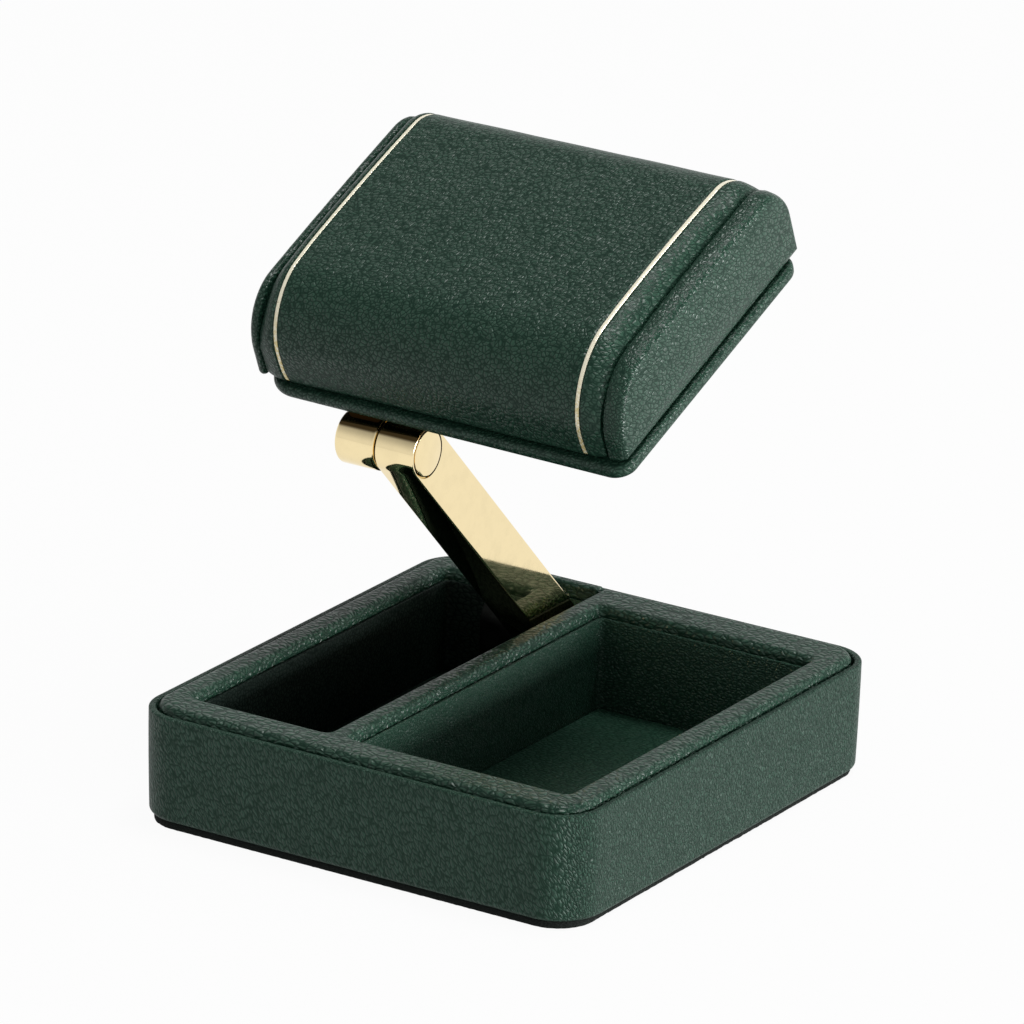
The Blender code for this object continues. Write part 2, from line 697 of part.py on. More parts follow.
def build_base_hinge(metal, steel, wood, black):
    """Block under the notch and the lower hinge bracket that is screwed to it."""
    block_points = outline(square(BLOCK_LEFT, BLOCK_FRONT, BLOCK_RIGHT, BLOCK_BACK))
    block = loft("hinge_block", [flat(block_points, INSIDE_BOTTOM), flat(block_points, BLOCK_TOP)], wood)

    # The upright is an arch: the knuckle's round top on straight sides down into the foot
    foot_left = KNUCKLE_LEFT
    foot_right = ARM_RIGHT
    foot_front = BLOCK_FRONT + BRACKET_FOOT_MARGIN
    foot_back = BLOCK_BACK - BRACKET_FOOT_MARGIN
    arch = (
        (LOWER_PIVOT_Y - HUB_RADIUS, FOOT_PLATE_BOTTOM, 0.0),
        (LOWER_PIVOT_Y + HUB_RADIUS, FOOT_PLATE_BOTTOM, 0.0),
        (LOWER_PIVOT_Y + HUB_RADIUS, LOWER_PIVOT_HEIGHT + HUB_RADIUS, HUB_RADIUS),
        (LOWER_PIVOT_Y - HUB_RADIUS, LOWER_PIVOT_HEIGHT + HUB_RADIUS, HUB_RADIUS),
    )
    points = outline(arch, 0.0, LARGE_CORNER_STEPS)
    ends = [across(points, KNUCKLE_RIGHT), across(points, KNUCKLE_LEFT)]
    bracket = loft("base_hinge_bracket", ends, steel)
    foot_points = outline(square(foot_left, foot_front, foot_right, foot_back))
    foot_rings = [flat(foot_points, FOOT_PLATE_BOTTOM), flat(foot_points, FOOT_PLATE_TOP)]
    foot = loft("bracket_foot_tool", foot_rings)
    boolean(bracket, foot, "UNION")
    pivot = (0.0, LOWER_PIVOT_Y, LOWER_PIVOT_HEIGHT)
    hinge_bores(bracket, None, pivot, cut_arm=False)

    screw_x = (ARM_LEFT + ARM_RIGHT) / 2
    middle = (foot_front + foot_back) / 2
    for number, way in enumerate((-1, 1), start=1):
        place = (screw_x, middle + way * LOWER_SCREW_SPACING / 2, FOOT_PLATE_TOP)
        screw_hole(bracket, LOWER_SCREW_LENGTH, None, place, upward=True)
        screw_hole(block, LOWER_SCREW_LENGTH, None, place, upward=True)
        screw_body(f"base_hinge_screw_{number}", LOWER_SCREW_LENGTH, steel, None, place, upward=True)
    build_pin("base_hinge_pin", metal, None, pivot)
    build_washer("base_hinge_washer", black, None, pivot)


def build_arm(metal, parent):
    """Flat arm with a round hub at each end, standing along the parent's Z axis."""
    corners = (
        (-HUB_RADIUS, -HUB_RADIUS, HUB_RADIUS),
        (HUB_RADIUS, -HUB_RADIUS, HUB_RADIUS),
        (HUB_RADIUS, ARM_LENGTH + HUB_RADIUS, HUB_RADIUS),
        (-HUB_RADIUS, ARM_LENGTH + HUB_RADIUS, HUB_RADIUS),
    )
    rings = []
    for inset, x in (
        (ARM_EDGE, ARM_RIGHT),
        (0.0, ARM_RIGHT - ARM_EDGE),
        (0.0, ARM_LEFT + ARM_EDGE),
        (ARM_EDGE, ARM_LEFT),
    ):
        rings.append(across(outline(corners, inset, LARGE_CORNER_STEPS), x))
    arm = loft("arm", rings, metal, parent)
    hinge_bores(arm, parent, (0.0, 0.0, 0.0), cut_arm=True)
    hinge_bores(arm, parent, (0.0, 0.0, ARM_LENGTH), cut_arm=True)
    build_pin("upper_hinge_pin", metal, parent, (0.0, 0.0, ARM_LENGTH))


# Cushion: section points are u, from front to back along the plate, and v, square to it

def cushion_corners(inset, foot_round):
    """Corners of the cushion's section that keep its underside where it is when moved inward."""
    foot = CUSHION_BOTTOM - inset
    return (
        (CUSHION_FRONT, foot, foot_round + inset),
        (CUSHION_BACK, foot, foot_round + inset),
        (CUSHION_BACK, CUSHION_TOP, CUSHION_BACK_ROUND),
        (CUSHION_FRONT, CUSHION_TOP, CUSHION_FRONT_ROUND),
    )


def fill_out(point, crown, belly=0.0):
    """Press a section point outward, most at the middle of the top and of the front and back."""
    share_u = 2 * (point.x - CUSHION_FRONT) / CUSHION_DEPTH - 1
    share_v = 2 * (point.y - CUSHION_BOTTOM) / CUSHION_HEIGHT - 1
    rise = crown * (1 - share_u ** 2) * (1 + share_v) / 2
    spread = belly * share_u * (1 - min(share_v ** 2, 1))
    return Vector((point.x + spread, point.y + rise))


def cushion_arch(inset, foot_round, crown=0.0, belly=0.0):
    """Open section from the front's foot over the top to the back's foot."""
    corners = cushion_corners(inset, foot_round)
    points = list(reversed(corner_arc(corners, 0, inset, FOOT_STEPS)))
    for index, steps, run_steps in ((3, ARCH_STEPS, 2), (2, ARCH_STEPS, 4), (1, FOOT_STEPS, 2)):
        arc = list(reversed(corner_arc(corners, index, inset, steps)))
        points += between(points[-1], arc[0], run_steps) + arc
    return [fill_out(point, crown, belly) for point in points]


def pad_arch(x, inset, depth=0.0):
    """The pad's outer section at x, sunk by depth."""
    share = 2 * (x - CUSHION_CENTRE_X) / (SEAM_RIGHT - SEAM_LEFT)
    crown = CUSHION_CROWN + CUSHION_SWELL * (1 - share ** 2)
    return cushion_arch(inset + depth, CUSHION_FOOT_ROUND, crown, CUSHION_BELLY)


def build_pad(finish):
    """Main pad: crowned leather over foam, drawn in at both seams, open under its core."""
    gold_half = GOLD_WIDTH / 2 + SEAT_GAP
    groove = GOLD_THICKNESS + SEAT_GAP
    half = []
    for share, drop in PAD_END_SHARES:
        half.append((SEAT_GAP / 2 + share * PAD_END_RUN, drop * PAD_END_DROP, 0.0))
    for offset, depth in ((-gold_half, 0.0), (-gold_half, groove), (gold_half, groove), (gold_half, 0.0)):
        half.append((GOLD_FROM_SEAM + offset, 0.0, depth))
    stations = [(SEAM_LEFT + run, drop, depth) for run, drop, depth in half]
    for share in PAD_MIDDLE_SHARES:
        stations.append((SEAM_LEFT + (SEAM_RIGHT - SEAM_LEFT) * share, 0.0, 0.0))
    stations += [(SEAM_RIGHT - run, drop, depth) for run, drop, depth in reversed(half)]
    inner = cushion_arch(PAD_THICKNESS, PAD_TURN_UNDER)
    inner.reverse()
    rings = [across(pad_arch(x, drop, depth) + inner, x) for x, drop, depth in stations]
    return loft("main_pad", rings, finish, ends="strip")


def build_gold_line(name, x, finish):
    """Thin gilt strip let into the pad, from its front foot to its back foot."""
    outer = pad_arch(x, 0.0)[FOOT_STEPS:-FOOT_STEPS]
    inner = pad_arch(x, 0.0, GOLD_THICKNESS)[FOOT_STEPS:-FOOT_STEPS]
    inner.reverse()
    rings = [across(outer + inner, x - GOLD_WIDTH / 2), across(outer + inner, x + GOLD_WIDTH / 2)]
    return loft(name, rings, finish, ends="strip")


def build_panel(name, seam, way, finish):
    """Padded end panel, rolled in at the seam and round its outer edge."""
    front = CUSHION_FRONT + PANEL_SET_IN
    back = CUSHION_BACK - PANEL_SET_IN
    top = CUSHION_TOP - PANEL_TOP_DROP
    corners = (
        (front, CUSHION_BOTTOM, PANEL_FOOT_ROUND),
        (back, CUSHION_BOTTOM, PANEL_FOOT_ROUND),
        (back, top, PANEL_BACK_ROUND),
        (front, top, PANEL_FRONT_ROUND),
    )
    profile = []
    for inset, rise in roll(PANEL_SEAM_ROLL, PANEL_SEAM_ROLL, steps=2):
        profile.append((inset, PANEL_SEAM_ROLL - rise))
    profile.reverse()
    for inset, rise in roll(PANEL_EDGE_ROLL, PANEL_EDGE_ROLL):
        profile.append((inset, PANEL_THICKNESS - PANEL_PUFF - PANEL_EDGE_ROLL + rise))
    rings = []
    for inset, run in profile:
        points = [fill_out(point, PANEL_CROWN) for point in outline(corners, inset, ARCH_STEPS)]
        rings.append(across(points, seam + way * (SEAT_GAP / 2 + run)))
    middle = Vector(((front + back) / 2, (CUSHION_BOTTOM + top) / 2))
    points = [middle.lerp(point, PANEL_PUFF_SHARE) for point in points]
    rings.append(across(points, seam + way * (PANEL_THICKNESS - SEAT_GAP / 2)))
    return loft(name, rings, finish)


def build_plate(finish):
    """Leather wrapped plate under the cushion, with round corners and edges."""
    left = CUSHION_CENTRE_X + PLATE_FROM_CENTRE - PLATE_LENGTH / 2
    corners = square(left, PLATE_FRONT, left + PLATE_LENGTH, PLATE_FRONT + PLATE_DEPTH, PLATE_CORNER)
    rings = []
    for inset, rise in reversed(roll(PLATE_EDGE_ROUND, PLATE_EDGE_ROUND, steps=3)):
        rings.append(flat(outline(corners, inset), PLATE_BOTTOM + PLATE_EDGE_ROUND - rise))
    for inset, rise in roll(PLATE_EDGE_ROUND, PLATE_EDGE_ROUND, steps=3):
        rings.append(flat(outline(corners, inset), PLATE_TOP - PLATE_EDGE_ROUND + rise))
    return loft("cushion_plate", rings, finish)


def build_core(finish):
    """Stiff core inside the pad, which the bracket's screws reach."""
    inset = PAD_THICKNESS + SEAT_GAP
    corners = cushion_corners(inset, PAD_TURN_UNDER + SEAT_GAP)
    points = outline(corners, inset)
    rings = [across(points, SEAM_LEFT + SEAT_GAP), across(points, SEAM_RIGHT - SEAT_GAP)]
    return loft("cushion_core", rings, finish)


def build_cushion_bracket(metal):
    """Upper hinge bracket: a round knuckle with a leaf that lies under the plate."""
    bracket = turned("cushion_bracket", knuckle_profile(), ROUND_SIDES, metal)
    corners = square(LEAF_LEFT, 0.0, LEAF_RIGHT, LEAF_LENGTH, LEAF_CORNER)
    points = outline(corners)
    leaf = loft("bracket_leaf_tool", [flat(points, LEAF_BOTTOM), flat(points, LEAF_TOP)])
    boolean(bracket, leaf, "UNION")
    return bracket, leaf


def build_cushion(leather, black, gold, wood, metal, parent):
    """Everything that tilts with the cushion, in the frame of the upper hinge axis."""
    bracket, leaf = build_cushion_bracket(metal)
    plate = build_plate(leather)
    core = build_core(wood)
    pieces = [
        bracket,
        leaf,
        plate,
        core,
        build_pad(leather),
        build_panel("left_end_panel", SEAM_LEFT, -1, leather),
        build_panel("right_end_panel", SEAM_RIGHT, 1, leather),
        build_gold_line("gold_line_left", SEAM_LEFT + GOLD_FROM_SEAM, gold),
        build_gold_line("gold_line_right", SEAM_RIGHT - GOLD_FROM_SEAM, gold),
    ]
    for piece in pieces:
        piece.parent = parent
    hinge_bores(bracket, parent, (0.0, 0.0, 0.0), cut_arm=False)
    build_washer("upper_hinge_washer", black, parent, (0.0, 0.0, 0.0))
    screw_x = (LEAF_LEFT + LEAF_RIGHT) / 2
    for number in (1, 2):
        place = (screw_x, LEAF_SCREW_START + (number - 1) * UPPER_SCREW_SPACING, LEAF_BOTTOM)
        for target in (bracket, plate, core):
            screw_hole(target, UPPER_SCREW_LENGTH, parent, place, upward=False)
        screw_body(f"cushion_screw_{number}", UPPER_SCREW_LENGTH, metal, parent, place, upward=False)


def main():
    """Build the whole stand."""
    clear_scene()
    leather = make_material("green_leather", (0.025, 0.065, 0.05), 0.5)
    lining = make_material("green_lining", (0.02, 0.055, 0.045), 0.75)
    felt = make_material("black_felt", (0.01, 0.01, 0.01), 0.95)
    wood = make_material("board", (0.42, 0.3, 0.19), 0.8)
    foil = make_material("gilt_line", (0.85, 0.7, 0.42), 0.3, 1.0)
    metal = make_material("pale_gold_metal", (0.9, 0.76, 0.5), 0.08, 1.0)
    steel = make_material("dark_steel", (0.05, 0.05, 0.05), 0.4, 1.0)
    black = make_material("black_washer", (0.02, 0.02, 0.02), 0.5)

    build_foot(felt)
    build_bottom_board(wood)
    build_outer_wall(leather)
    build_rails(wood)
    build_top_frame(leather)
    build_notch_facing(leather)
    build_liners(lining)
    build_floor_pads(lining)
    build_base_hinge(metal, steel, wood, black)

    arm_tilt = math.radians(90.0 - ARM_LEAN_DEG)
    cushion_tilt = math.radians(CUSHION_TILT_DEG)
    arm_axis = add_empty("arm_axis", (0.0, LOWER_PIVOT_Y, LOWER_PIVOT_HEIGHT), arm_tilt)
    build_arm(metal, arm_axis)
    upper = (0.0, 0.0, ARM_LENGTH)
    cushion_axis = add_empty("cushion_axis", upper, cushion_tilt - arm_tilt, arm_axis)
    build_cushion(leather, black, foil, wood, metal, cushion_axis)


main()
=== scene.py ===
"""Looks of the travel watch stand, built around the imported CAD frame.

Frame: metres, origin under the centre of the tray, +Z up, +Y towards the arm's hinge. Pieces of
the cushion are modelled along its plate (x, u, v) and turned into place about the upper hinge.
"""
import json
import math

import bmesh
import bpy
from mathutils import Matrix, Vector, noise

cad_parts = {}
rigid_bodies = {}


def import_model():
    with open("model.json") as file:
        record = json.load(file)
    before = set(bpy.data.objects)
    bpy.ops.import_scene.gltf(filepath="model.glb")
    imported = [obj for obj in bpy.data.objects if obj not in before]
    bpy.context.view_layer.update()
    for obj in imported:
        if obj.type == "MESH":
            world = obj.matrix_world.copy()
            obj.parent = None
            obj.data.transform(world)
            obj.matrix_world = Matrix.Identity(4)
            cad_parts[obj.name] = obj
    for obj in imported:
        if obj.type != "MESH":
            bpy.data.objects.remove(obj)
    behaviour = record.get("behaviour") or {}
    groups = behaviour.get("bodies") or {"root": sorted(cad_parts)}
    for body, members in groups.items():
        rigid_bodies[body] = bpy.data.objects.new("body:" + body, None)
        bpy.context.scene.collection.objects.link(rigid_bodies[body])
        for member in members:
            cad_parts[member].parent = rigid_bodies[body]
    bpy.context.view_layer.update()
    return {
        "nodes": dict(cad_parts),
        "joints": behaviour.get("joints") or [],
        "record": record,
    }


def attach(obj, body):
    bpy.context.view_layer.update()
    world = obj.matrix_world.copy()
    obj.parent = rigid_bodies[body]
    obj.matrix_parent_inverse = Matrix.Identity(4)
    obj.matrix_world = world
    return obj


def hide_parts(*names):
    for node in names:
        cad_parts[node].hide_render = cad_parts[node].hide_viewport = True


MM = 0.001

# Tray, outside
HALF_WIDTH = 55.0 * MM
HALF_DEPTH = 61.0 * MM
TRAY_CORNER = 10.2 * MM
LIP_HEIGHT = 25.2 * MM
LIP_WIDTH = 1.6 * MM
LIP_ROUND = 0.5 * MM
WALL_THICKNESS = 5.0 * MM
WALL_BOTTOM = 1.08 * MM
WALL_TURN_IN = 1.3 * MM
WALL_LEAN = 0.45 * MM
WALL_RUN = 4.0 * MM
FOOT_INSET = 1.6 * MM
FOOT_THICKNESS = 1.0 * MM
FOOT_UNEVEN = 0.16 * MM
FOOT_UNEVEN_RUN = 1.1 * MM
FOOT_RUN = 0.8 * MM
# How far up the wall, then how much of its lean
WALL_LEAN_SHARES = ((0.18, 0.72), (0.35, 0.5), (0.52, 0.3), (0.7, 0.15), (0.85, 0.04), (1.0, 0.0))
# The foot's cut edge: inward from its inset, and height
FOOT_EDGE = ((0.0, 0.0), (-0.1 * MM, 0.35 * MM), (0.0, 0.8 * MM), (0.25 * MM, FOOT_THICKNESS))

# The wall's lower edge along the front: its rise, where that ends above, and where it starts and
# is full, both from the front
FRONT_RISE = 0.6 * MM
FRONT_RISE_TOP = 9.0 * MM
FRONT_RISE_START = 14.0 * MM
FRONT_RISE_FULL = 3.0 * MM

# Padded frame
FRAME_TOP = 26.4 * MM
FRAME_BOTTOM = 23.2 * MM
SHELF_LEVEL = 22.9 * MM
FRAME_GROOVE = 0.6 * MM
FRAME_ROLL_RUN = 1.5 * MM
FRAME_ROLL_RISE = 1.7 * MM
FRAME_ROLL_SAG = 0.12 * MM
FRAME_SIDE_DROP = 0.35 * MM
FRAME_CROWN = ((2.1 * MM, 0.03 * MM), (2.6 * MM, 0.05 * MM))
COVER_RUN = 3.0 * MM
WINDOW_LEFT = -46.6 * MM
WINDOW_RIGHT = 46.0 * MM
WINDOW_FRONT = -49.6 * MM
WINDOW_BACK = 47.8 * MM
DIVIDER_LEFT = -12.8 * MM
DIVIDER_RIGHT = -7.2 * MM
NOTCH_LEFT = -37.0 * MM
WINDOW_CORNER = 1.2 * MM
NOTCH_END_ROUND = 3.0 * MM
NOTCH_SIDE_ROUND = 1.7 * MM
FACING_GAP = 0.3 * MM
FACING_FRONT = 56.3 * MM
FACING_ROLL_RUN = 0.6 * MM
FACING_ROLL_RISE = 0.8 * MM
FACING_RUN = 0.6 * MM
FACING_SOFT = 1.2 * MM
FACING_CREASE = 0.12 * MM
FACING_CREASE_RUN = 1.6 * MM

# Linings
INSIDE_BOTTOM = 2.8 * MM
LINER_TOP = 24.2 * MM
LINER_OUT = 0.4 * MM
LINER_IN = 1.15 * MM
LINER_NOTCH_CORNER = 0.8 * MM
# The lining's upper edge: inset, and how far below its top
LINER_EDGE = ((LINER_OUT, 0.25 * MM), (LINER_OUT + 0.1 * MM, 0.07 * MM), (LINER_OUT + 0.25 * MM, 0.0),
              (LINER_IN - 0.3 * MM, 0.0), (LINER_IN - 0.1 * MM, 0.1 * MM), (LINER_IN, 0.35 * MM))
RAIL_Y = 55.7 * MM
FLOOR_TOP = 3.8 * MM
FLOOR_GAP = 1.45 * MM
FLOOR_ROLL_RUN = 0.8 * MM
FLOOR_ROLL_RISE = 0.45 * MM
FLOOR_RUN = 6.0 * MM
BLOCK_FRONT = 43.7 * MM
BLOCK_LEFT = -35.55 * MM
BLOCK_TOP = 8.3 * MM
BLOCK_GAP = 0.3 * MM
BRACKET_FOOT = 1.5 * MM
BRACKET_LEFT = -35.0 * MM
BRACKET_CORNER = 0.8 * MM
CAD_ARM_RIGHT = -15.0 * MM

# Arm and hinges
ARM_LENGTH = 82.4 * MM
ARM_LEFT = -25.3 * MM
ARM_RIGHT = -15.75 * MM
ARM_BEVEL = 0.32 * MM
HUB_RADIUS = 5.9 * MM
KNUCKLE_LEFT = -35.6 * MM
KNUCKLE_RIGHT = -25.8 * MM
KNUCKLE_ROUND = 0.75 * MM
WASHER_RADIUS = 5.0 * MM
WASHER_GAP = 0.1 * MM
PIN_RADIUS = 2.2 * MM
PIN_END_COVER = 2.0 * MM
CAP_RADIUS = 5.05 * MM
CAP_FLAT_RADIUS = 4.75 * MM
CAP_CHAMFER = 0.07 * MM
CAP_EDGE = 0.25 * MM
CAP_PROUD = 0.1 * MM
CAP_SINK = 0.8 * MM
CAP_SEAT = 5.45 * MM
CAP_SEAT_DEPTH = 1.1 * MM
OVERRUN = 1.0 * MM
ARM_LEAN_DEG = 44.7
LEAF_LENGTH = 25.0 * MM
LEAF_BOTTOM = 4.7 * MM
LEAF_TOP = 6.7 * MM
LEAF_GAP = 0.02 * MM
LEAF_CORNER = 2.0 * MM

# Cushion, in its own frame
CUSHION_TILT_DEG = 23.17
CUSHION_FRONT = 0.3 * MM
CUSHION_BACK = 73.6 * MM
CUSHION_BOTTOM = 10.3 * MM
CUSHION_TOP = 32.0 * MM
CENTRE_X = -11.6 * MM
SEAM_LEFT = -54.3 * MM
SEAM_RIGHT = 30.8 * MM
FRONT_ROUND_LEFT = 13.5 * MM
FRONT_ROUND_RIGHT = 16.0 * MM
BACK_ROUND = 10.7 * MM
FOOT_ROUND = 1.5 * MM
CROWN = 1.1 * MM
SWELL = 0.6 * MM
BELLY = 0.5 * MM
END_DROP_LEFT = 4.2 * MM
END_DROP_RIGHT = 3.1 * MM
END_RUN = 5.2 * MM
END_POWER = 2.1
# The ends drop less low on the front, between two heights, and towards the back
END_LOW_SHARE = 0.3
END_HEIGHTS = (18.0 * MM, 30.0 * MM)
END_BACK_FROM = 45.0 * MM
END_BACK_LEFT = 0.18
END_BACK_RIGHT = 0.45
END_LEAST = 0.2
GOLD_LEFT = -48.6 * MM
GOLD_RIGHT = 25.9 * MM
GOLD_LEAN_LEFT = -1.5 * MM
GOLD_LEAN_RIGHT = -0.7 * MM
GOLD_WIDTH = 0.85 * MM
GOLD_EDGE = 0.25 * MM
GOLD_DEPTH = 0.3 * MM
GROOVE_SIDE = 0.2 * MM
# The gilt strip's section: across in half widths, and out of the groove in millimetres
GOLD_SECTION = ((-1.0, -0.05), (-1.0, 0.1), (-0.8, 0.14), (0.8, 0.14), (1.0, 0.1), (1.0, -0.05))
# Where the gilt lines' lean builds up: axis of the section, from, to, and share of the lean
LEAN_STEPS = ((1, CUSHION_BOTTOM, CUSHION_BOTTOM + 4.0 * MM, 0.35), (1, 18.0 * MM, CUSHION_TOP, 0.25),
              (0, 2.0 * MM, 24.0 * MM, 0.4))
CORNER_FORWARD = 0.9 * MM
PAD_START = 0.15 * MM
PAD_STEP = 0.3 * MM
PAD_CENTRE_RISE = 4.0 * MM
PAD_SWELL = 0.1 * MM
PAD_SWELL_RUN = 14.0 * MM
# Puckers at a seam: height, where they begin to fade, how far they fade, and their waves, each
# with its share, its offset in the noise, its length and its seed
PAD_PUCKERS = (0.2 * MM, 0.4 * MM, 1.3 * MM,
               ((1.0, 9.0 * MM, 1.5 * MM, 1.7), (0.6, 5.0 * MM, 0.7 * MM, 4.1)))
PANEL_PUCKERS = (0.24 * MM, 0.2 * MM, 1.2 * MM,
                 ((1.0, 4.0 * MM, 1.4 * MM, 5.5), (0.6, 7.0 * MM, 0.7 * MM, 8.1)))

# End panels
PANEL_FRONT = CUSHION_FRONT + 0.5 * MM
PANEL_BACK = CUSHION_BACK + 0.1 * MM
PANEL_START = 0.15 * MM
PANEL_SEAM_ROLL = 0.9 * MM
PANEL_EDGE_ROLL = 1.5 * MM
PANEL_FOOT_ROUND = 1.2 * MM
PANEL_BACK_ROUND = 9.8 * MM
PANEL_CROWN = 0.6 * MM
PANEL_RUN = 1.2 * MM
PANEL_MIDDLE_SHARE = 0.42
PANEL_FACE_SHARES = (0.06, 0.14, 0.25, 0.38, 0.53, 0.7, 0.9)
PANEL_PILLOW_POWER = 0.8
LEFT_PANEL = dict(seam=SEAM_LEFT, way=-1, rim=2.3 * MM, puff=1.3 * MM, sink=2.4 * MM, lift=0.2 * MM,
                  front_round=12.0 * MM)
RIGHT_PANEL = dict(seam=SEAM_RIGHT, way=1, rim=4.6 * MM, puff=0.8 * MM, sink=2.9 * MM, lift=1.5 * MM,
                   front_round=14.0 * MM)

# Plate
PLATE_BOTTOM = 7.0 * MM
PLATE_TOP = 10.0 * MM
PLATE_LEFT = -55.1 * MM
PLATE_RIGHT = 35.9 * MM
PLATE_FRONT = -1.0 * MM
PLATE_BACK = 72.3 * MM
PLATE_LEFT_ROUND = 7.5 * MM
PLATE_RIGHT_ROUND = 4.6 * MM
PLATE_BACK_ROUND = 5.0 * MM
PLATE_SKEW = 0.3 * MM
PLATE_EDGE = 1.2 * MM
PLATE_LIFT_LEFT = 0.45 * MM
PLATE_FALL = 0.7 * MM

# Leather's grain: ranges of the distance from a cell's edge or of the patches, with the values
# at their ends where these aren't 0 and 1, and shares of the relief
GRAIN_WARP = (0.7, 0.55)
PEBBLE = (0.0, 0.5)
# Creases are painted darker: partly the grain's own tone, partly painted shade
CREASE = (-0.04, 0.2)
CREASE_PATCH = (0.35, 0.65, 0.8, 1.0)
# The rims' ranges, patches and gain paint a highlight along each pebble's edge
RIM_HIGHLIGHT_INNER = (0.08, 0.2)
RIM_HIGHLIGHT_OUTER = (0.22, 0.42, 1.0, 0.0)
RIM_HIGHLIGHT_PATCH = (0.3, 0.6, 0.35, 1.0)
RIM_HIGHLIGHT_GAIN = 1.5
PEBBLE_SHARE = 0.5
WRINKLE_SHARE = 0.45
PORE_SHARE = 0.035
CREASE_SHINE_SHARE = 0.25
STEEP_FROM = (50.0, 54.0)

IN_MM = (1000.0, 1000.0, 1000.0)
SHARPEST = 0.02 * MM

# Stage, and how bright it looks to the camera and in polished metal
FLOOR_SIZE = 30.0
FLOOR_GREY = (0.6, 0.6, 0.6, 1.0)
FLOOR_SEEN = 0.95
FLOOR_MIRRORED = 0.85
WORLD_STRENGTH = 0.36
HORIZON = (0.1, 0.8, 0.7, 0.0)
WHITE = (1.0, 1.0, 1.0, 1.0)
LIGHT_AIM = Vector((0.0, 0.0, 0.05))


# Mesh helpers

def finish_mesh(name, shape, finish, sharp_deg=40.0, matrix=None):
    """Turn a bmesh into a shaded object."""
    bmesh.ops.recalc_face_normals(shape, faces=shape.faces)
    mesh = bpy.data.meshes.new(name)
    shape.to_mesh(mesh)
    shape.free()
    mesh.shade_smooth()
    mesh.set_sharp_from_angle(angle=math.radians(sharp_deg))
    made = bpy.data.objects.new(name, mesh)
    bpy.context.scene.collection.objects.link(made)
    if matrix is not None:
        made.matrix_world = matrix
    mesh.materials.append(finish)
    return made


def bridge(shape, first, second, closed=True):
    """Quads between two rings, or between two open strips."""
    count = len(first)
    for index in range(count if closed else count - 1):
        after = (index + 1) % count
        shape.faces.new((first[index], first[after], second[after], second[index]))


def loft(name, rings, finish, ends="face", sharp_deg=40.0, matrix=None):
    """A body through rings, with flat ends or closed on itself."""
    shape = bmesh.new()
    loops = [[shape.verts.new(point) for point in ring] for ring in rings]
    for first, second in zip(loops, loops[1:]):
        bridge(shape, first, second)
    if ends == "loop":
        bridge(shape, loops[-1], loops[0])
    else:
        shape.faces.new(loops[0])
        shape.faces.new(loops[-1])
    return finish_mesh(name, shape, finish, sharp_deg, matrix)


def strip_body(name, strips, finish, sharp_deg=40.0, matrix=None):
    """A long body from open strips that run along it side by side, with a face at each end."""
    shape = bmesh.new()
    strips = [[shape.verts.new(point) for point in strip] for strip in strips]
    for first, second in zip(strips, strips[1:] + strips[:1]):
        bridge(shape, first, second, closed=False)
    for end in (0, -1):
        shape.faces.new([strip[end] for strip in strips])
    return finish_mesh(name, shape, finish, sharp_deg, matrix)


def windowed(name, ring_sets, finish):
    """A flat body with windows."""
    shape = bmesh.new()
    low_edges = []
    high_edges = []
    for rings in ring_sets:
        loops = [[shape.verts.new(point) for point in ring] for ring in rings]
        for first, second in zip(loops, loops[1:]):
            bridge(shape, first, second)
        for loop, edges in ((loops[0], low_edges), (loops[-1], high_edges)):
            for index, vertex in enumerate(loop):
                edges.append(shape.edges.get((vertex, loop[(index + 1) % len(loop)])))
    for edges, way in ((low_edges, -1.0), (high_edges, 1.0)):
        bmesh.ops.triangle_fill(shape, edges=edges, use_beauty=True, normal=(0.0, 0.0, way))
    return finish_mesh(name, shape, finish)


def corner_arc(corners, index, inset, steps):
    """The arc at a corner of an outline moved inward by inset."""
    before = Vector(corners[index - 1][:2])
    here = Vector(corners[index][:2])
    after = Vector(corners[(index + 1) % len(corners)][:2])
    arrive = (here - before).normalized()
    leave = (after - here).normalized()
    side = 1.0 if arrive.cross(leave) > 0 else -1.0
    left_a = Vector((-arrive.y, arrive.x))
    left_b = Vector((-leave.y, leave.x))
    toward = (left_a + left_b) / (1.0 + left_a.dot(left_b))
    bend = max(corners[index][2] - side * inset, SHARPEST)
    centre = here + toward * inset + toward * side * bend
    start = math.atan2(-side * left_a.y, -side * left_a.x)
    sweep = math.atan2(arrive.cross(leave), arrive.dot(leave))
    points = []
    for step in range(steps + 1):
        angle = start + sweep * step / steps
        points.append(centre + Vector((math.cos(angle), math.sin(angle))) * bend)
    return points


def outline(corners, inset=0.0, steps=8, run=0.0):
    """Closed outline with arcs at its corners; a run is about how long the parts of its sides are."""
    arcs = [corner_arc(corners, index, inset, steps) for index in range(len(corners))]
    points = []
    for index, arc in enumerate(arcs):
        points.extend(arc)
        if run:
            start = arc[-1]
            end = arcs[(index + 1) % len(arcs)][0]
            base = Vector(corners[index][:2])
            far = Vector(corners[(index + 1) % len(corners)][:2])
            count = max(int((far - base).length / run), 1)
            points.extend(start.lerp(end, part / count) for part in range(1, count))
    return points


def rect(left, front, right, back, radius):
    """Corners of a rectangle, counter-clockwise."""
    places = ((left, front), (right, front), (right, back), (left, back))
    return tuple((x, y, radius) for x, y in places)


def flat(points, height):
    """Plan points at a height."""
    return [Vector((point.x, point.y, height)) for point in points]


def level_rings(corners, profile, steps=8, run=0.0):
    """The outline at each inset and height of a profile."""
    return [flat(outline(corners, inset, steps, run), height) for inset, height in profile]


def across(points, x):
    """Section points in the plane at x."""
    return [Vector((x, point.x, point.y)) for point in points]


def roll(run, rise, steps):
    """Offsets inward and upward along a quarter ellipse, from straight up to flat."""
    points = []
    for step in range(steps + 1):
        angle = math.pi / 2 * step / steps
        points.append((run * (1 - math.cos(angle)), rise * math.sin(angle)))
    return points


def circle(radius, sides):
    """Points of a circle."""
    turns = [2 * math.pi * side / sides for side in range(sides)]
    return [Vector((radius * math.cos(turn), radius * math.sin(turn))) for turn in turns]


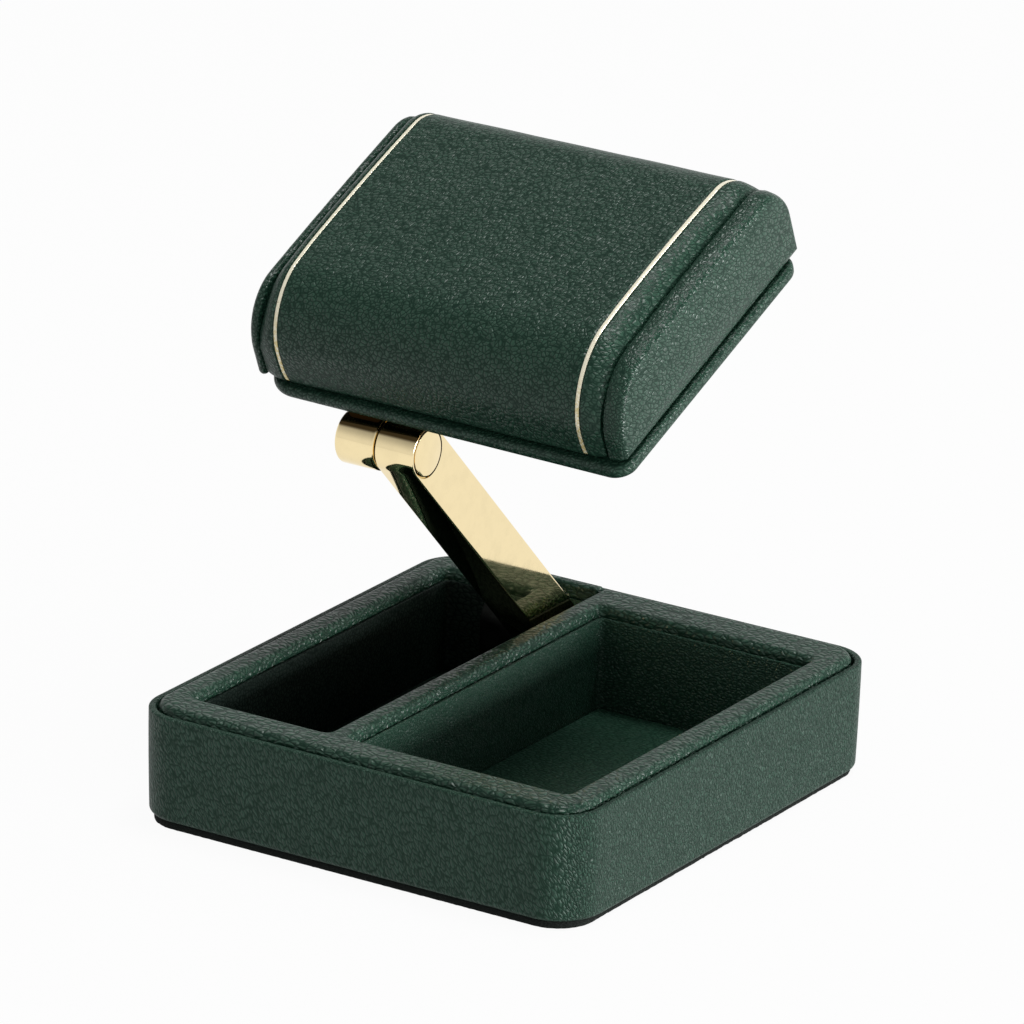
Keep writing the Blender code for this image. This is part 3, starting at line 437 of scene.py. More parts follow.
def turned(name, profile, sides, finish, matrix, sharp_deg=30.0):
    """A body turned about X."""
    rings = [across(circle(radius, sides), x) for x, radius in profile]
    return loft(name, rings, finish, matrix=matrix, sharp_deg=sharp_deg)


def ripple(point, size, seed):
    """Smooth noise from -1 to 1 at a point."""
    return noise.noise(Vector(point) / size + Vector((seed, seed, seed)))


def soft_step(value, low, high):
    """Smooth step from 0 at low to 1 at high."""
    share = min(max((value - low) / (high - low), 0.0), 1.0)
    return share * share * (3 - 2 * share)


def lengths_along(points):
    """Each point's distance from the first one along the line of points."""
    lengths = [0.0]
    for before, here in zip(points, points[1:]):
        lengths.append(lengths[-1] + (here - before).length)
    return lengths


# Material helpers

def new_material(name, colour):
    """A material with nodes, its tree and its Principled shader."""
    made = bpy.data.materials.new(name)
    made.use_nodes = True
    made.diffuse_color = (*colour, 1.0)
    return made, made.node_tree, made.node_tree.nodes["Principled BSDF"]


def plug(tree, made, inputs):
    """Give a node's inputs their values or links."""
    for key, value in inputs.items():
        if isinstance(value, bpy.types.NodeSocket):
            tree.links.new(value, made.inputs[key])
        else:
            made.inputs[key].default_value = value


def node(tree, kind, inputs=None, **settings):
    """A shader node with its settings and inputs."""
    made = tree.nodes.new(kind)
    for key, value in settings.items():
        setattr(made, key, value)
    plug(tree, made, inputs or {})
    return made


def math_node(tree, operation, *values):
    """A Math node whose inputs are sockets or numbers."""
    return node(tree, "ShaderNodeMath", dict(enumerate(values)), operation=operation).outputs[0]


def object_coords(tree, scale=IN_MM, turn=(0.0, 0.0, 0.0), kind="POINT"):
    """Object coordinates, in millimetres if nothing else is asked for."""
    coords = node(tree, "ShaderNodeTexCoord").outputs["Object"]
    inputs = {"Vector": coords, "Rotation": turn, "Scale": scale}
    return node(tree, "ShaderNodeMapping", inputs, vector_type=kind).outputs["Vector"]


def noise_socket(tree, vector, scale, detail=2.0, roughness=0.5):
    """A Noise texture's factor."""
    inputs = {"Vector": vector, "Scale": scale, "Detail": detail, "Roughness": roughness}
    return node(tree, "ShaderNodeTexNoise", inputs).outputs["Fac"]


def warped(tree, vector, scale, amount):
    """A vector moved by noise."""
    made = node(tree, "ShaderNodeTexNoise", {"Vector": vector, "Scale": scale, "Detail": 1.0})
    inputs = {0: made.outputs["Color"], 1: (amount, amount, amount), 2: vector}
    return node(tree, "ShaderNodeVectorMath", inputs, operation="MULTIPLY_ADD").outputs[0]


def cells(tree, vector, scale=1.0):
    """Distance from a cell's edge, from a Voronoi texture."""
    inputs = {"Vector": vector, "Scale": scale}
    return node(tree, "ShaderNodeTexVoronoi", inputs, feature="DISTANCE_TO_EDGE").outputs["Distance"]


def smooth_range(tree, value, low, high, to_low=0.0, to_high=1.0):
    """A smooth Map Range."""
    inputs = {"Value": value, "From Min": low, "From Max": high, "To Min": to_low, "To Max": to_high}
    return node(tree, "ShaderNodeMapRange", inputs, interpolation_type="SMOOTHSTEP").outputs["Result"]


def mix_colour(tree, factor, first, second):
    """Mix of two colours, each a socket or a tuple, by a socket."""
    made = node(tree, "ShaderNodeMix", {0: factor}, data_type="RGBA")
    for key, value in ((6, first), (7, second)):
        plug(tree, made, {key: (*value, 1.0) if isinstance(value, tuple) else value})
    return made.outputs[2]


def add_bump(tree, shader, height, distance, strength=1.0):
    """Give the shader relief from a height socket."""
    bump = node(tree, "ShaderNodeBump", {"Height": height, "Distance": distance, "Strength": strength})
    plug(tree, shader, {"Normal": bump.outputs["Normal"]})


def leather(name, colour, dark, cell=1.1, stretch=(1.6, 0.9, 0.9), turn=(0.0, 0.0, 0.0),
            depth=0.25, roughness=0.35, shine=0.36, side_crease_shade=None):
    """Grained leather: drawn out pebbles with a painted highlight on their rims, between creases
    painted darker (partly the grain's own tone, partly painted shade), wrinkles and pores.

    Cell and depth are in millimetres. A side crease shade is a darker colour for the creases on the
    tray's left and right sides, painted shade that brings out the grain there, where the grain is twice
    as deep.
    """
    made, tree, shader = new_material(name, colour)
    scale = tuple(cell * part * MM for part in stretch)
    bent = warped(tree, object_coords(tree, scale, turn, "TEXTURE"), *GRAIN_WARP)
    edge = cells(tree, bent)
    wrinkle = noise_socket(tree, bent, 0.9)
    plain = object_coords(tree)
    pores = noise_socket(tree, plain, 3.0, roughness=0.6)
    patch = noise_socket(tree, plain, 0.6, roughness=0.6)
    height = math_node(tree, "MULTIPLY", smooth_range(tree, edge, *PEBBLE), PEBBLE_SHARE)
    height = math_node(tree, "MULTIPLY_ADD", wrinkle, WRINKLE_SHARE, height)
    height = math_node(tree, "MULTIPLY_ADD", pores, PORE_SHARE, height)
    distance = depth * MM
    # Painted shade: darker creases on the tray's left and right sides
    if side_crease_shade:
        sideways = node(tree, "ShaderNodeSeparateXYZ", {0: plain}).outputs["X"]
        side = smooth_range(tree, math_node(tree, "ABSOLUTE", sideways), *STEEP_FROM)
        distance = math_node(tree, "MULTIPLY_ADD", side, depth * MM, depth * MM)
        dark = mix_colour(tree, side, dark, side_crease_shade)
    add_bump(tree, shader, height, distance)
    # Creases painted darker: partly the grain's own tone, partly painted shade
    raised = smooth_range(tree, edge, *CREASE)
    raised = math_node(tree, "MULTIPLY", raised, smooth_range(tree, patch, *CREASE_PATCH))
    # Painted highlight: a lighter band along each pebble's rim, in patches
    rim = smooth_range(tree, edge, *RIM_HIGHLIGHT_INNER)
    rim = math_node(tree, "MULTIPLY", rim, smooth_range(tree, edge, *RIM_HIGHLIGHT_OUTER))
    rim = math_node(tree, "MULTIPLY", rim, smooth_range(tree, patch, *RIM_HIGHLIGHT_PATCH))
    body = mix_colour(tree, rim, colour, tuple(part * RIM_HIGHLIGHT_GAIN for part in colour))
    low_shine = CREASE_SHINE_SHARE * shine
    plug(tree, shader, {
        "Base Color": mix_colour(tree, raised, dark, body),
        "Specular IOR Level": math_node(tree, "MULTIPLY_ADD", raised, shine - low_shine, low_shine),
        "Roughness": roughness,
    })
    return made


def metal(name, colour, roughness=0.05, under=None, along=None, level=0.0):
    """Polished plating with faint smudges; the side along a direction past a level gets a dark brown
    painted shade, standing in for the shade under the cushion's plate.
    """
    made, tree, shader = new_material(name, colour)
    plain = object_coords(tree)
    smudge = noise_socket(tree, plain, 0.25, 4.0, 0.6)
    smudged = tuple(part * 0.96 for part in colour)
    body = mix_colour(tree, smooth_range(tree, smudge, 0.4, 0.7), colour, smudged)
    # Painted shade: dark brown past the level, where the metal sits close under the cushion's plate
    if under:
        inputs = {0: plain, 1: along}
        past = node(tree, "ShaderNodeVectorMath", inputs, operation="DOT_PRODUCT").outputs["Value"]
        body = mix_colour(tree, smooth_range(tree, past, level, level + 0.35), body, under)
    plug(tree, shader, {
        "Base Color": body,
        "Metallic": 1.0,
        "Roughness": smooth_range(tree, smudge, 0.35, 0.75, roughness * 0.8, roughness * 1.6),
    })
    add_bump(tree, shader, noise_socket(tree, plain, 0.6), 0.004 * MM, strength=0.35)
    return made


def foil(name, colour, worn_colour, lower_patch_colour):
    """Thin gilt strip: bright, slightly crinkled, worn in small spots and yellower lower down."""
    made, tree, shader = new_material(name, colour)
    plain = object_coords(tree)
    crinkle = cells(tree, warped(tree, plain, 0.9, 0.5), 1.1)
    worn = smooth_range(tree, noise_socket(tree, plain, 2.2, 3.0, 0.65), 0.66, 0.72)
    height = node(tree, "ShaderNodeSeparateXYZ", {0: plain}).outputs["Z"]
    # Lower down on the cushion the strip is darker and yellower, in patches
    low = smooth_range(tree, height, 20.0, 30.5, 1.0, 0.0)
    patch = smooth_range(tree, noise_socket(tree, plain, 1.3, roughness=0.6), 0.42, 0.58)
    body = mix_colour(tree, math_node(tree, "MULTIPLY", low, patch), colour, lower_patch_colour)
    plug(tree, shader, {
        "Base Color": mix_colour(tree, worn, body, worn_colour),
        "Metallic": math_node(tree, "MULTIPLY_ADD", worn, 0.5, 0.2),
        "Roughness": math_node(tree, "MULTIPLY_ADD", worn, 0.25, 0.24),
    })
    add_bump(tree, shader, smooth_range(tree, crinkle, 0.0, 0.3), 0.03 * MM, strength=0.8)
    return made


def fuzz(name, colour, light, size=0.35):
    """Matte felt or board fibre of a size in millimetres."""
    made, tree, shader = new_material(name, colour)
    fibre = noise_socket(tree, warped(tree, object_coords(tree), 2.0, 0.6), 1.0 / size, 4.0, 0.7)
    plug(tree, shader, {
        "Base Color": mix_colour(tree, smooth_range(tree, fibre, 0.4, 0.7), colour, light),
        "Roughness": 0.95,
        "Specular IOR Level": 0.2,
    })
    add_bump(tree, shader, fibre, 0.12 * MM)
    return made


def plastic(name, colour):
    """Dull plastic with a fine moulded grain."""
    made, tree, shader = new_material(name, colour)
    grain = noise_socket(tree, object_coords(tree), 6.0)
    plug(tree, shader, {
        "Base Color": mix_colour(tree, grain, colour, tuple(part * 1.5 for part in colour)),
        "Roughness": smooth_range(tree, grain, 0.3, 0.7, 0.45, 0.6),
    })
    return made


# Tray pieces

def tray_outline(inset, steps, run):
    """The tray's plan, moved inward."""
    corners = rect(-HALF_WIDTH, -HALF_DEPTH, HALF_WIDTH, HALF_DEPTH, TRAY_CORNER)
    return outline(corners, inset, steps, run)


def front_rise(point):
    """How much higher the wall's lower edge and the foot's upper one stand along the front."""
    return FRONT_RISE * soft_step(-point.y, HALF_DEPTH - FRONT_RISE_START, HALF_DEPTH - FRONT_RISE_FULL)


def make_wall(finish):
    """Leather wrapped outer wall with a thin rolled lip."""
    lower = WALL_BOTTOM + WALL_TURN_IN
    upper = LIP_HEIGHT - LIP_ROUND
    turn_in = reversed(roll(WALL_TURN_IN, WALL_TURN_IN, 8))
    lip = roll(LIP_ROUND, LIP_ROUND, 6)
    section = [(WALL_LEAN + inset, lower - rise) for inset, rise in turn_in]
    for share, lean in WALL_LEAN_SHARES:
        section.append((WALL_LEAN * lean, lower + (upper - lower) * share))
    section += [(inset, upper + rise) for inset, rise in lip[1:]]
    section += [(LIP_WIDTH - inset, upper + rise) for inset, rise in reversed(lip)]
    section += [(LIP_WIDTH, SHELF_LEVEL), (WALL_THICKNESS, SHELF_LEVEL), (WALL_THICKNESS, WALL_BOTTOM)]
    rings = [flat(tray_outline(inset, 20, WALL_RUN), height) for inset, height in section]
    for ring in rings:
        for point in ring:
            fade = max(0.0, 1.0 - (point.z - WALL_BOTTOM) / FRONT_RISE_TOP)
            point.z += front_rise(point) * fade
    return loft("wall_cover", rings, finish, ends="loop", sharp_deg=50.0)


def frame_corners():
    """The frame's outline with the notch and the left window, and the right window."""
    edge = LIP_WIDTH + FRAME_GROOVE
    x = HALF_WIDTH - edge
    y = HALF_DEPTH - edge
    outer = TRAY_CORNER - edge
    corners = (
        (-x, -y, outer), (x, -y, outer), (x, y, outer),
        (DIVIDER_LEFT, y, NOTCH_SIDE_ROUND), (DIVIDER_LEFT, WINDOW_FRONT, WINDOW_CORNER),
        (WINDOW_LEFT, WINDOW_FRONT, WINDOW_CORNER), (WINDOW_LEFT, WINDOW_BACK, WINDOW_CORNER),
        (NOTCH_LEFT, WINDOW_BACK, NOTCH_END_ROUND), (NOTCH_LEFT, y, NOTCH_END_ROUND), (-x, y, outer),
    )
    window = rect(DIVIDER_RIGHT, WINDOW_FRONT, WINDOW_RIGHT, WINDOW_BACK, WINDOW_CORNER)
    return corners, window


def make_frame(finish):
    """Padded frame with rolled edges and a faint crown on its bars."""
    corners, window = frame_corners()
    side_top = FRAME_TOP - FRAME_ROLL_RISE
    profile = [(0.0, FRAME_BOTTOM), (0.0, side_top - FRAME_SIDE_DROP)]
    for inset, climb in roll(FRAME_ROLL_RUN, FRAME_ROLL_RISE, 8):
        sag = FRAME_ROLL_SAG * (1 - inset / FRAME_ROLL_RUN)
        profile.append((inset, side_top + climb - sag))
    profile += [(inset, FRAME_TOP + rise) for inset, rise in FRAME_CROWN]
    outside = level_rings(corners, profile, 12, COVER_RUN)
    inside = level_rings(window, [(-inset, height) for inset, height in profile], 8, COVER_RUN)
    return windowed("frame_cover", (outside, inside), finish)


def make_notch_facing(finish):
    """Leather strip behind the notch, with a few upright creases."""
    back = HALF_DEPTH - LIP_WIDTH - FRAME_GROOVE
    corners = rect(NOTCH_LEFT + FACING_GAP, FACING_FRONT, DIVIDER_LEFT - FACING_GAP, back, FACING_GAP)
    profile = [(0.0, FRAME_BOTTOM)]
    for inset, climb in roll(FACING_ROLL_RUN, FACING_ROLL_RISE, 5):
        profile.append((inset, FRAME_TOP - FACING_ROLL_RISE + climb))
    rings = level_rings(corners, profile, 3, FACING_RUN)
    for ring in rings:
        for point in ring:
            if point.y < FACING_FRONT + FACING_SOFT:
                point.y += FACING_CREASE * ripple((point.x, 0.0, 0.0), FACING_CREASE_RUN, 3.0)
    return loft("notch_facing_cover", rings, finish)


def make_liners(left_finish, right_finish):
    """Linings of the right and the left compartment, with a soft rolled upper edge."""
    section = [(LINER_OUT, INSIDE_BOTTOM)]
    section += [(inset, LINER_TOP - drop) for inset, drop in LINER_EDGE]
    section.append((LINER_IN, INSIDE_BOTTOM))
    window = rect(DIVIDER_RIGHT, WINDOW_FRONT, WINDOW_RIGHT, WINDOW_BACK, WINDOW_CORNER + LINER_IN)
    right = loft("right_liner_cover", level_rings(window, section), right_finish, ends="loop")
    strips = [flat(liner_path(inset), height) for inset, height in section]
    return right, strip_body("left_liner_cover", strips, left_finish)


def liner_path(inset):
    """Open path along the left lining, moved into the compartment by inset."""
    stops = (
        (NOTCH_LEFT + inset, RAIL_Y), (NOTCH_LEFT + inset, WINDOW_BACK - inset),
        (WINDOW_LEFT + inset, WINDOW_BACK - inset), (WINDOW_LEFT + inset, WINDOW_FRONT + inset),
        (DIVIDER_LEFT - inset, WINDOW_FRONT + inset), (DIVIDER_LEFT - inset, RAIL_Y),
    )
    path = [Vector(stop) for stop in stops]
    window_corner = WINDOW_CORNER + (LINER_IN - inset)
    points = [path[0]]
    for index in range(1, len(path) - 1):
        radius = LINER_NOTCH_CORNER if index == 1 else window_corner
        arrive = (path[index] - path[index - 1]).normalized()
        leave = (path[index + 1] - path[index]).normalized()
        centre = path[index] - arrive * radius + leave * radius
        for step in range(9):
            angle = math.pi / 2 * step / 8
            swing = arrive * radius * math.sin(angle) - leave * radius * math.cos(angle)
            points.append(centre + swing)
    return points + [path[-1]]


def make_floors(left_finish, right_finish):
    """Soft floors with rounded rims; the left one leaves room for the hinge block."""
    left, right = WINDOW_LEFT + FLOOR_GAP, DIVIDER_LEFT - FLOOR_GAP
    front, back = WINDOW_FRONT + FLOOR_GAP, WINDOW_BACK - FLOOR_GAP
    block_x, block_y = BLOCK_LEFT - BLOCK_GAP, BLOCK_FRONT - BLOCK_GAP
    places = ((left, front), (right, front), (right, block_y), (block_x, block_y), (block_x, back),
              (left, back))
    beside_block = [(x, y, WINDOW_CORNER) for x, y in places]
    plain = rect(DIVIDER_RIGHT + FLOOR_GAP, front, WINDOW_RIGHT - FLOOR_GAP, back, WINDOW_CORNER)
    profile = [(0.0, INSIDE_BOTTOM)]
    for inset, climb in roll(FLOOR_ROLL_RUN, FLOOR_ROLL_RISE, 5):
        profile.append((inset, FLOOR_TOP - FLOOR_ROLL_RISE + climb))
    made = []
    for side, corners, finish in (("left", beside_block, left_finish), ("right", plain, right_finish)):
        made.append(loft(f"{side}_floor_cover", level_rings(corners, profile, 4, FLOOR_RUN), finish))
    return made


def make_foot(finish):
    """Felt sheet under the tray, with a slightly uneven cut edge."""
    rings = []
    for offset, height in FOOT_EDGE:
        ring = flat(tray_outline(FOOT_INSET + offset, 30, FOOT_RUN), height)
        for point in ring:
            push = FOOT_UNEVEN * ripple((point.x, point.y, height * 3), FOOT_UNEVEN_RUN, 7.0)
            point += Vector((point.x, point.y, 0.0)).normalized() * push
            point.z += front_rise(point) * height / FOOT_THICKNESS
        rings.append(ring)
    return loft("foot_cover", rings, finish)


# Metal pieces

def hinge_matrix(number, degrees):
    """Place of a frame at a joint's pivot, turned about X."""
    pivot = Vector(frame["joints"][number]["pos_m"])
    turn = Matrix.Rotation(math.radians(degrees), 4, "X")
    return Matrix.Translation((0.0, pivot.y, pivot.z)) @ turn


def bevelled(name, corners, left, right, finish, matrix=None):
    """A flat bar with bevelled rims between two planes square to X."""
    bevel = roll(ARM_BEVEL, ARM_BEVEL, 4)
    stations = [(inset, right - ARM_BEVEL + rise) for inset, rise in reversed(bevel)]
    stations += [(inset, left + ARM_BEVEL - rise) for inset, rise in bevel]
    rings = [across(outline(corners, inset, 32), x) for inset, x in stations]
    return loft(name, rings, finish, matrix=matrix, sharp_deg=25.0)


def make_arm(finish, matrix):
    """Flat arm with round hubs and a sunk seat for each pin's cap."""
    corners = rect(-HUB_RADIUS, -HUB_RADIUS, HUB_RADIUS, ARM_LENGTH + HUB_RADIUS, HUB_RADIUS)
    arm = bevelled("arm_bar", corners, ARM_LEFT, ARM_RIGHT, finish, matrix)
    tools = []
    for height in (0.0, ARM_LENGTH):
        hub = matrix @ Matrix.Translation((0.0, 0.0, height))
        rings = [across(circle(CAP_SEAT, 64), ARM_RIGHT + out) for out in (OVERRUN, -CAP_SEAT_DEPTH)]
        tool = loft("seat_tool", rings, finish, matrix=hub)
        step = arm.modifiers.new("seat", "BOOLEAN")
        step.operation = "DIFFERENCE"
        step.solver = "EXACT"
        step.object = tool
        tools.append(tool)
    bpy.context.view_layer.update()
    cut = arm.evaluated_get(bpy.context.evaluated_depsgraph_get())
    mesh = bpy.data.meshes.new_from_object(cut)
    arm.modifiers.clear()
    arm.data = mesh
    for tool in tools:
        bpy.data.objects.remove(tool, do_unlink=True)
    arm.data.shade_smooth()
    arm.data.set_sharp_from_angle(angle=math.radians(25.0))
    return arm


def make_pin(name, finish, matrix):
    """Hinge pin with a flat cap that has a soft rim."""
    face = ARM_RIGHT + CAP_PROUD
    seat = ARM_RIGHT - CAP_SINK
    profile = (
        (face, CAP_FLAT_RADIUS), (face - CAP_CHAMFER, CAP_RADIUS - CAP_CHAMFER),
        (face - CAP_EDGE, CAP_RADIUS), (seat, CAP_RADIUS), (seat, PIN_RADIUS),
        (KNUCKLE_LEFT + PIN_END_COVER, PIN_RADIUS),
    )
    return turned(name, profile, 96, finish, matrix)


def make_washer(name, finish, matrix):
    """Thin disc in the gap between the arm and a knuckle."""
    profile = ((ARM_LEFT - WASHER_GAP, WASHER_RADIUS), (KNUCKLE_RIGHT + WASHER_GAP, WASHER_RADIUS))
    return turned(name, profile, 64, finish, matrix)


def make_lower_bracket(finish):
    """Lower hinge bracket: an upright with a round top on a foot plate."""
    pivot = Vector(frame["joints"][0]["pos_m"])
    foot = BLOCK_TOP + BRACKET_FOOT
    front, back, top = pivot.y - HUB_RADIUS, pivot.y + HUB_RADIUS, pivot.z + HUB_RADIUS
    arch = ((front, foot, 0.0), (back, foot, 0.0), (back, top, HUB_RADIUS), (front, top, HUB_RADIUS))
    upright = bevelled("bracket_upright", arch, BRACKET_LEFT, KNUCKLE_RIGHT, finish)
    back = RAIL_Y - BLOCK_GAP
    corners = rect(BRACKET_LEFT, BLOCK_FRONT + BLOCK_GAP, CAD_ARM_RIGHT, back, BRACKET_CORNER)
    points = outline(corners, steps=6)
    return upright, loft("bracket_plate", [flat(points, BLOCK_TOP), flat(points, foot)], finish)


def make_knuckle(finish, matrix):
    """Round knuckle of the cushion's bracket, with the leaf that runs under the plate."""
    edge = roll(KNUCKLE_ROUND, KNUCKLE_ROUND, 5)
    right, left = KNUCKLE_RIGHT - KNUCKLE_ROUND, KNUCKLE_LEFT + KNUCKLE_ROUND
    profile = [(right + rise, HUB_RADIUS - inset) for inset, rise in reversed(edge)]
    profile += [(left - rise, HUB_RADIUS - inset) for inset, rise in edge]
    knuckle = turned("cushion_knuckle", profile, 96, finish, matrix, sharp_deg=25.0)
    corners = rect(KNUCKLE_LEFT + LEAF_GAP, 0.0, KNUCKLE_RIGHT - LEAF_GAP, LEAF_LENGTH, LEAF_CORNER)
    points = outline(corners)
    rings = [flat(points, LEAF_BOTTOM), flat(points, LEAF_TOP)]
    return knuckle, loft("cushion_leaf", rings, finish, matrix=matrix)


# Cushion pieces

def settled(point, x):
    """Move a section point forward towards the cushion's front right corner, a little proud."""
    along = min(max((x - KNUCKLE_RIGHT) / (SEAM_RIGHT - KNUCKLE_RIGHT), 0.0), 1.0)
    near = 1 - point.x / CUSHION_BACK
    return Vector((point.x - CORNER_FORWARD * along * near, point.y))


def section_arch(x, crown, drop):
    """Open cushion section at x from the front foot over the top to the back foot, sunk by drop."""
    along = (x - SEAM_LEFT) / (SEAM_RIGHT - SEAM_LEFT)
    front_round = FRONT_ROUND_LEFT + (FRONT_ROUND_RIGHT - FRONT_ROUND_LEFT) * along
    corners = (
        (CUSHION_FRONT, CUSHION_BOTTOM - drop, FOOT_ROUND + drop),
        (CUSHION_BACK, CUSHION_BOTTOM - drop, FOOT_ROUND + drop),
        (CUSHION_BACK, CUSHION_TOP, BACK_ROUND),
        (CUSHION_FRONT, CUSHION_TOP, front_round),
    )
    points = list(reversed(corner_arc(corners, 0, drop, 4)))
    for index, steps, run_steps in ((3, 24, 4), (2, 18, 40), (1, 4, 12)):
        arc = list(reversed(corner_arc(corners, index, drop, steps)))
        start = points[-1]
        points += [start.lerp(arc[0], part / run_steps) for part in range(1, run_steps)] + arc
    return [settled(press_out(point, crown, BELLY), x) for point in points]


def press_out(point, crown, belly):
    """Fill a section point out, most at the middle of the top and of the front and back."""
    depth = CUSHION_BACK - CUSHION_FRONT
    height = CUSHION_TOP - CUSHION_BOTTOM
    share_u = 2 * (point.x - CUSHION_FRONT) / depth - 1
    share_v = 2 * (point.y - CUSHION_BOTTOM) / height - 1
    rise = crown * (1 - share_u ** 2) * (1 + share_v) / 2
    spread = belly * share_u * (1 - min(share_v ** 2, 1))
    return Vector((point.x + spread, point.y + rise))


def drift(point, x):
    """Sideways lean of the pad's cover: the gilt lines lean to the left on their way over it."""
    stops = ((SEAM_LEFT, 0.0), (GOLD_LEFT, GOLD_LEAN_LEFT), (GOLD_RIGHT, GOLD_LEAN_RIGHT),
             (SEAM_RIGHT, 0.0))
    amount = 0.0
    built_up = 0.0
    for (start, before), (end, after) in zip(stops, stops[1:]):
        if start <= x <= end:
            amount = before + (after - before) * (x - start) / (end - start)
    for axis, low, high, share in LEAN_STEPS:
        built_up += share * soft_step(point[axis], low, high)
    return amount * built_up


def leaned(points, x):
    """Section points at x, leaned with the cover."""
    return [Vector((x + drift(point, x), point.x, point.y)) for point in points]


def pucker(length, side, run, recipe):
    """Height of a seam's puckers at a length along it and a run away from it."""
    height, start, fade, waves = recipe
    total = 0.0
    for share, offset, size, seed in waves:
        total += share * ripple((length, side * offset, 0.0), size, seed)
    return total * math.exp(-max(run - start, 0.0) / fade) * height


def end_ease(point, side):
    """Share of the ends' drop that a section point takes: less low down and towards the back."""
    ease = END_LOW_SHARE + (1 - END_LOW_SHARE) * soft_step(point.y, *END_HEIGHTS)
    back = END_BACK_LEFT if side < 0 else END_BACK_RIGHT
    return max(ease - back * soft_step(point.x, END_BACK_FROM, CUSHION_BACK), END_LEAST)


def pad_ring(x):
    """The pad's outer section at x, with seam valley, puckers, gilt grooves and soft swells."""
    share = 2 * (x - CENTRE_X) / (SEAM_RIGHT - SEAM_LEFT)
    crown = CROWN + SWELL * (1 - share ** 2)
    run = min(x - SEAM_LEFT, SEAM_RIGHT - x)
    side = -1.0 if x < CENTRE_X else 1.0
    deepest = END_DROP_LEFT if side < 0 else END_DROP_RIGHT
    drop = deepest * max(1 - run / END_RUN, 0.0) ** END_POWER
    from_gold = min(abs(x - GOLD_LEFT), abs(x - GOLD_RIGHT)) - GOLD_WIDTH / 2 - GOLD_EDGE
    groove = GOLD_DEPTH * max(0.0, 1 - max(from_gold, 0.0) / GROOVE_SIDE)
    high = section_arch(x, crown, groove)
    low = section_arch(x, crown, drop + groove)
    points = [point.lerp(sunk, end_ease(point, side)) for point, sunk in zip(high, low)]
    centre = Vector(((CUSHION_FRONT + CUSHION_BACK) / 2, CUSHION_BOTTOM + PAD_CENTRE_RISE))
    moved = []
    for point, length in zip(points, lengths_along(points)):
        outward = (point - centre).normalized()
        swell = PAD_SWELL * ripple((x, point.x, point.y), PAD_SWELL_RUN, 2.2)
        moved.append(point + outward * (pucker(length, side, run, PAD_PUCKERS) + swell))
    return moved


def pad_stations():
    """Places along the pad: close together at the seams and the gilt lines."""
    runs = [PAD_START + step * PAD_STEP for step in range(14)]
    half = GOLD_WIDTH / 2 + GOLD_EDGE
    offsets = (half - GROOVE_SIDE, half, half + GROOVE_SIDE, half + PAD_STEP)
    edges = [0.0, *offsets, *(-offset for offset in offsets)]
    left = sorted([SEAM_LEFT + run for run in runs] + [GOLD_LEFT + edge for edge in edges])
    right = sorted([SEAM_RIGHT - run for run in runs] + [GOLD_RIGHT + edge for edge in edges])
    count = 48
    middle = [left[-1] + (right[0] - left[-1]) * step / count for step in range(1, count)]
    return left + middle + right


def make_pad(finish, matrix):
    """The cushion's main pad."""
    rings = [leaned(pad_ring(x), x) for x in pad_stations()]
    return loft("pad_cover", rings, finish, matrix=matrix, sharp_deg=60.0)


def make_gold(name, x, finish, matrix):
    """Gilt strip in the pad's shallow groove."""
    half = GOLD_WIDTH / 2
    strips = []
    for share, lift in GOLD_SECTION:
        points = pad_ring(x + share * half * 0.98)[3:-3]
        lifted = []
        for index, point in enumerate(points):
            along = points[min(index + 1, len(points) - 1)] - points[max(index - 1, 0)]
            outward = Vector((-along.y, along.x)).normalized()
            lifted.append(point + outward * lift * MM)
        strips.append(leaned(lifted, x + share * half))
    return strip_body(name, strips, finish, 50.0, matrix)


def make_panel(name, finish, matrix, seam, way, rim, puff, sink, lift, front_round):
    """Padded end panel: a tight roll at the seam, then a pillowed face down to a narrow foot."""
    top = CUSHION_TOP - sink
    corners = (
        (PANEL_FRONT, CUSHION_BOTTOM, PANEL_FOOT_ROUND), (PANEL_BACK, CUSHION_BOTTOM, PANEL_FOOT_ROUND),
        (PANEL_BACK, top + lift, PANEL_BACK_ROUND), (PANEL_FRONT, top, front_round),
    )
    profile = []
    for inset, rise in reversed(roll(PANEL_SEAM_ROLL, PANEL_SEAM_ROLL, 6)):
        profile.append((inset, PANEL_SEAM_ROLL - rise, 0.0))
    for inset, rise in roll(PANEL_EDGE_ROLL, rim - PANEL_SEAM_ROLL, 8)[1:]:
        profile.append((inset, PANEL_SEAM_ROLL + rise, 0.0))
    for share in PANEL_FACE_SHARES:
        pillow = puff * math.sin(math.pi / 2 * share ** PANEL_PILLOW_POWER)
        profile.append((PANEL_EDGE_ROLL, rim + pillow, share))
    height = CUSHION_BOTTOM + (top - CUSHION_BOTTOM) * PANEL_MIDDLE_SHARE
    middle = Vector(((PANEL_FRONT + PANEL_BACK) / 2, height))
    rings = []
    for inset, run, share in profile:
        x = seam + way * (PANEL_START + run)
        points = outline(corners, inset, 12, PANEL_RUN)
        ring = []
        for point, length in zip(points, lengths_along(points)):
            point = press_out(point, PANEL_CROWN, 0.0)
            outward = (point - middle).normalized()
            point += outward * pucker(length, way, run, PANEL_PUCKERS)
            ring.append(settled(point.lerp(middle, share), x))
        rings.append(across(ring, x))
    return loft(name, rings, finish, matrix=matrix, sharp_deg=60.0)


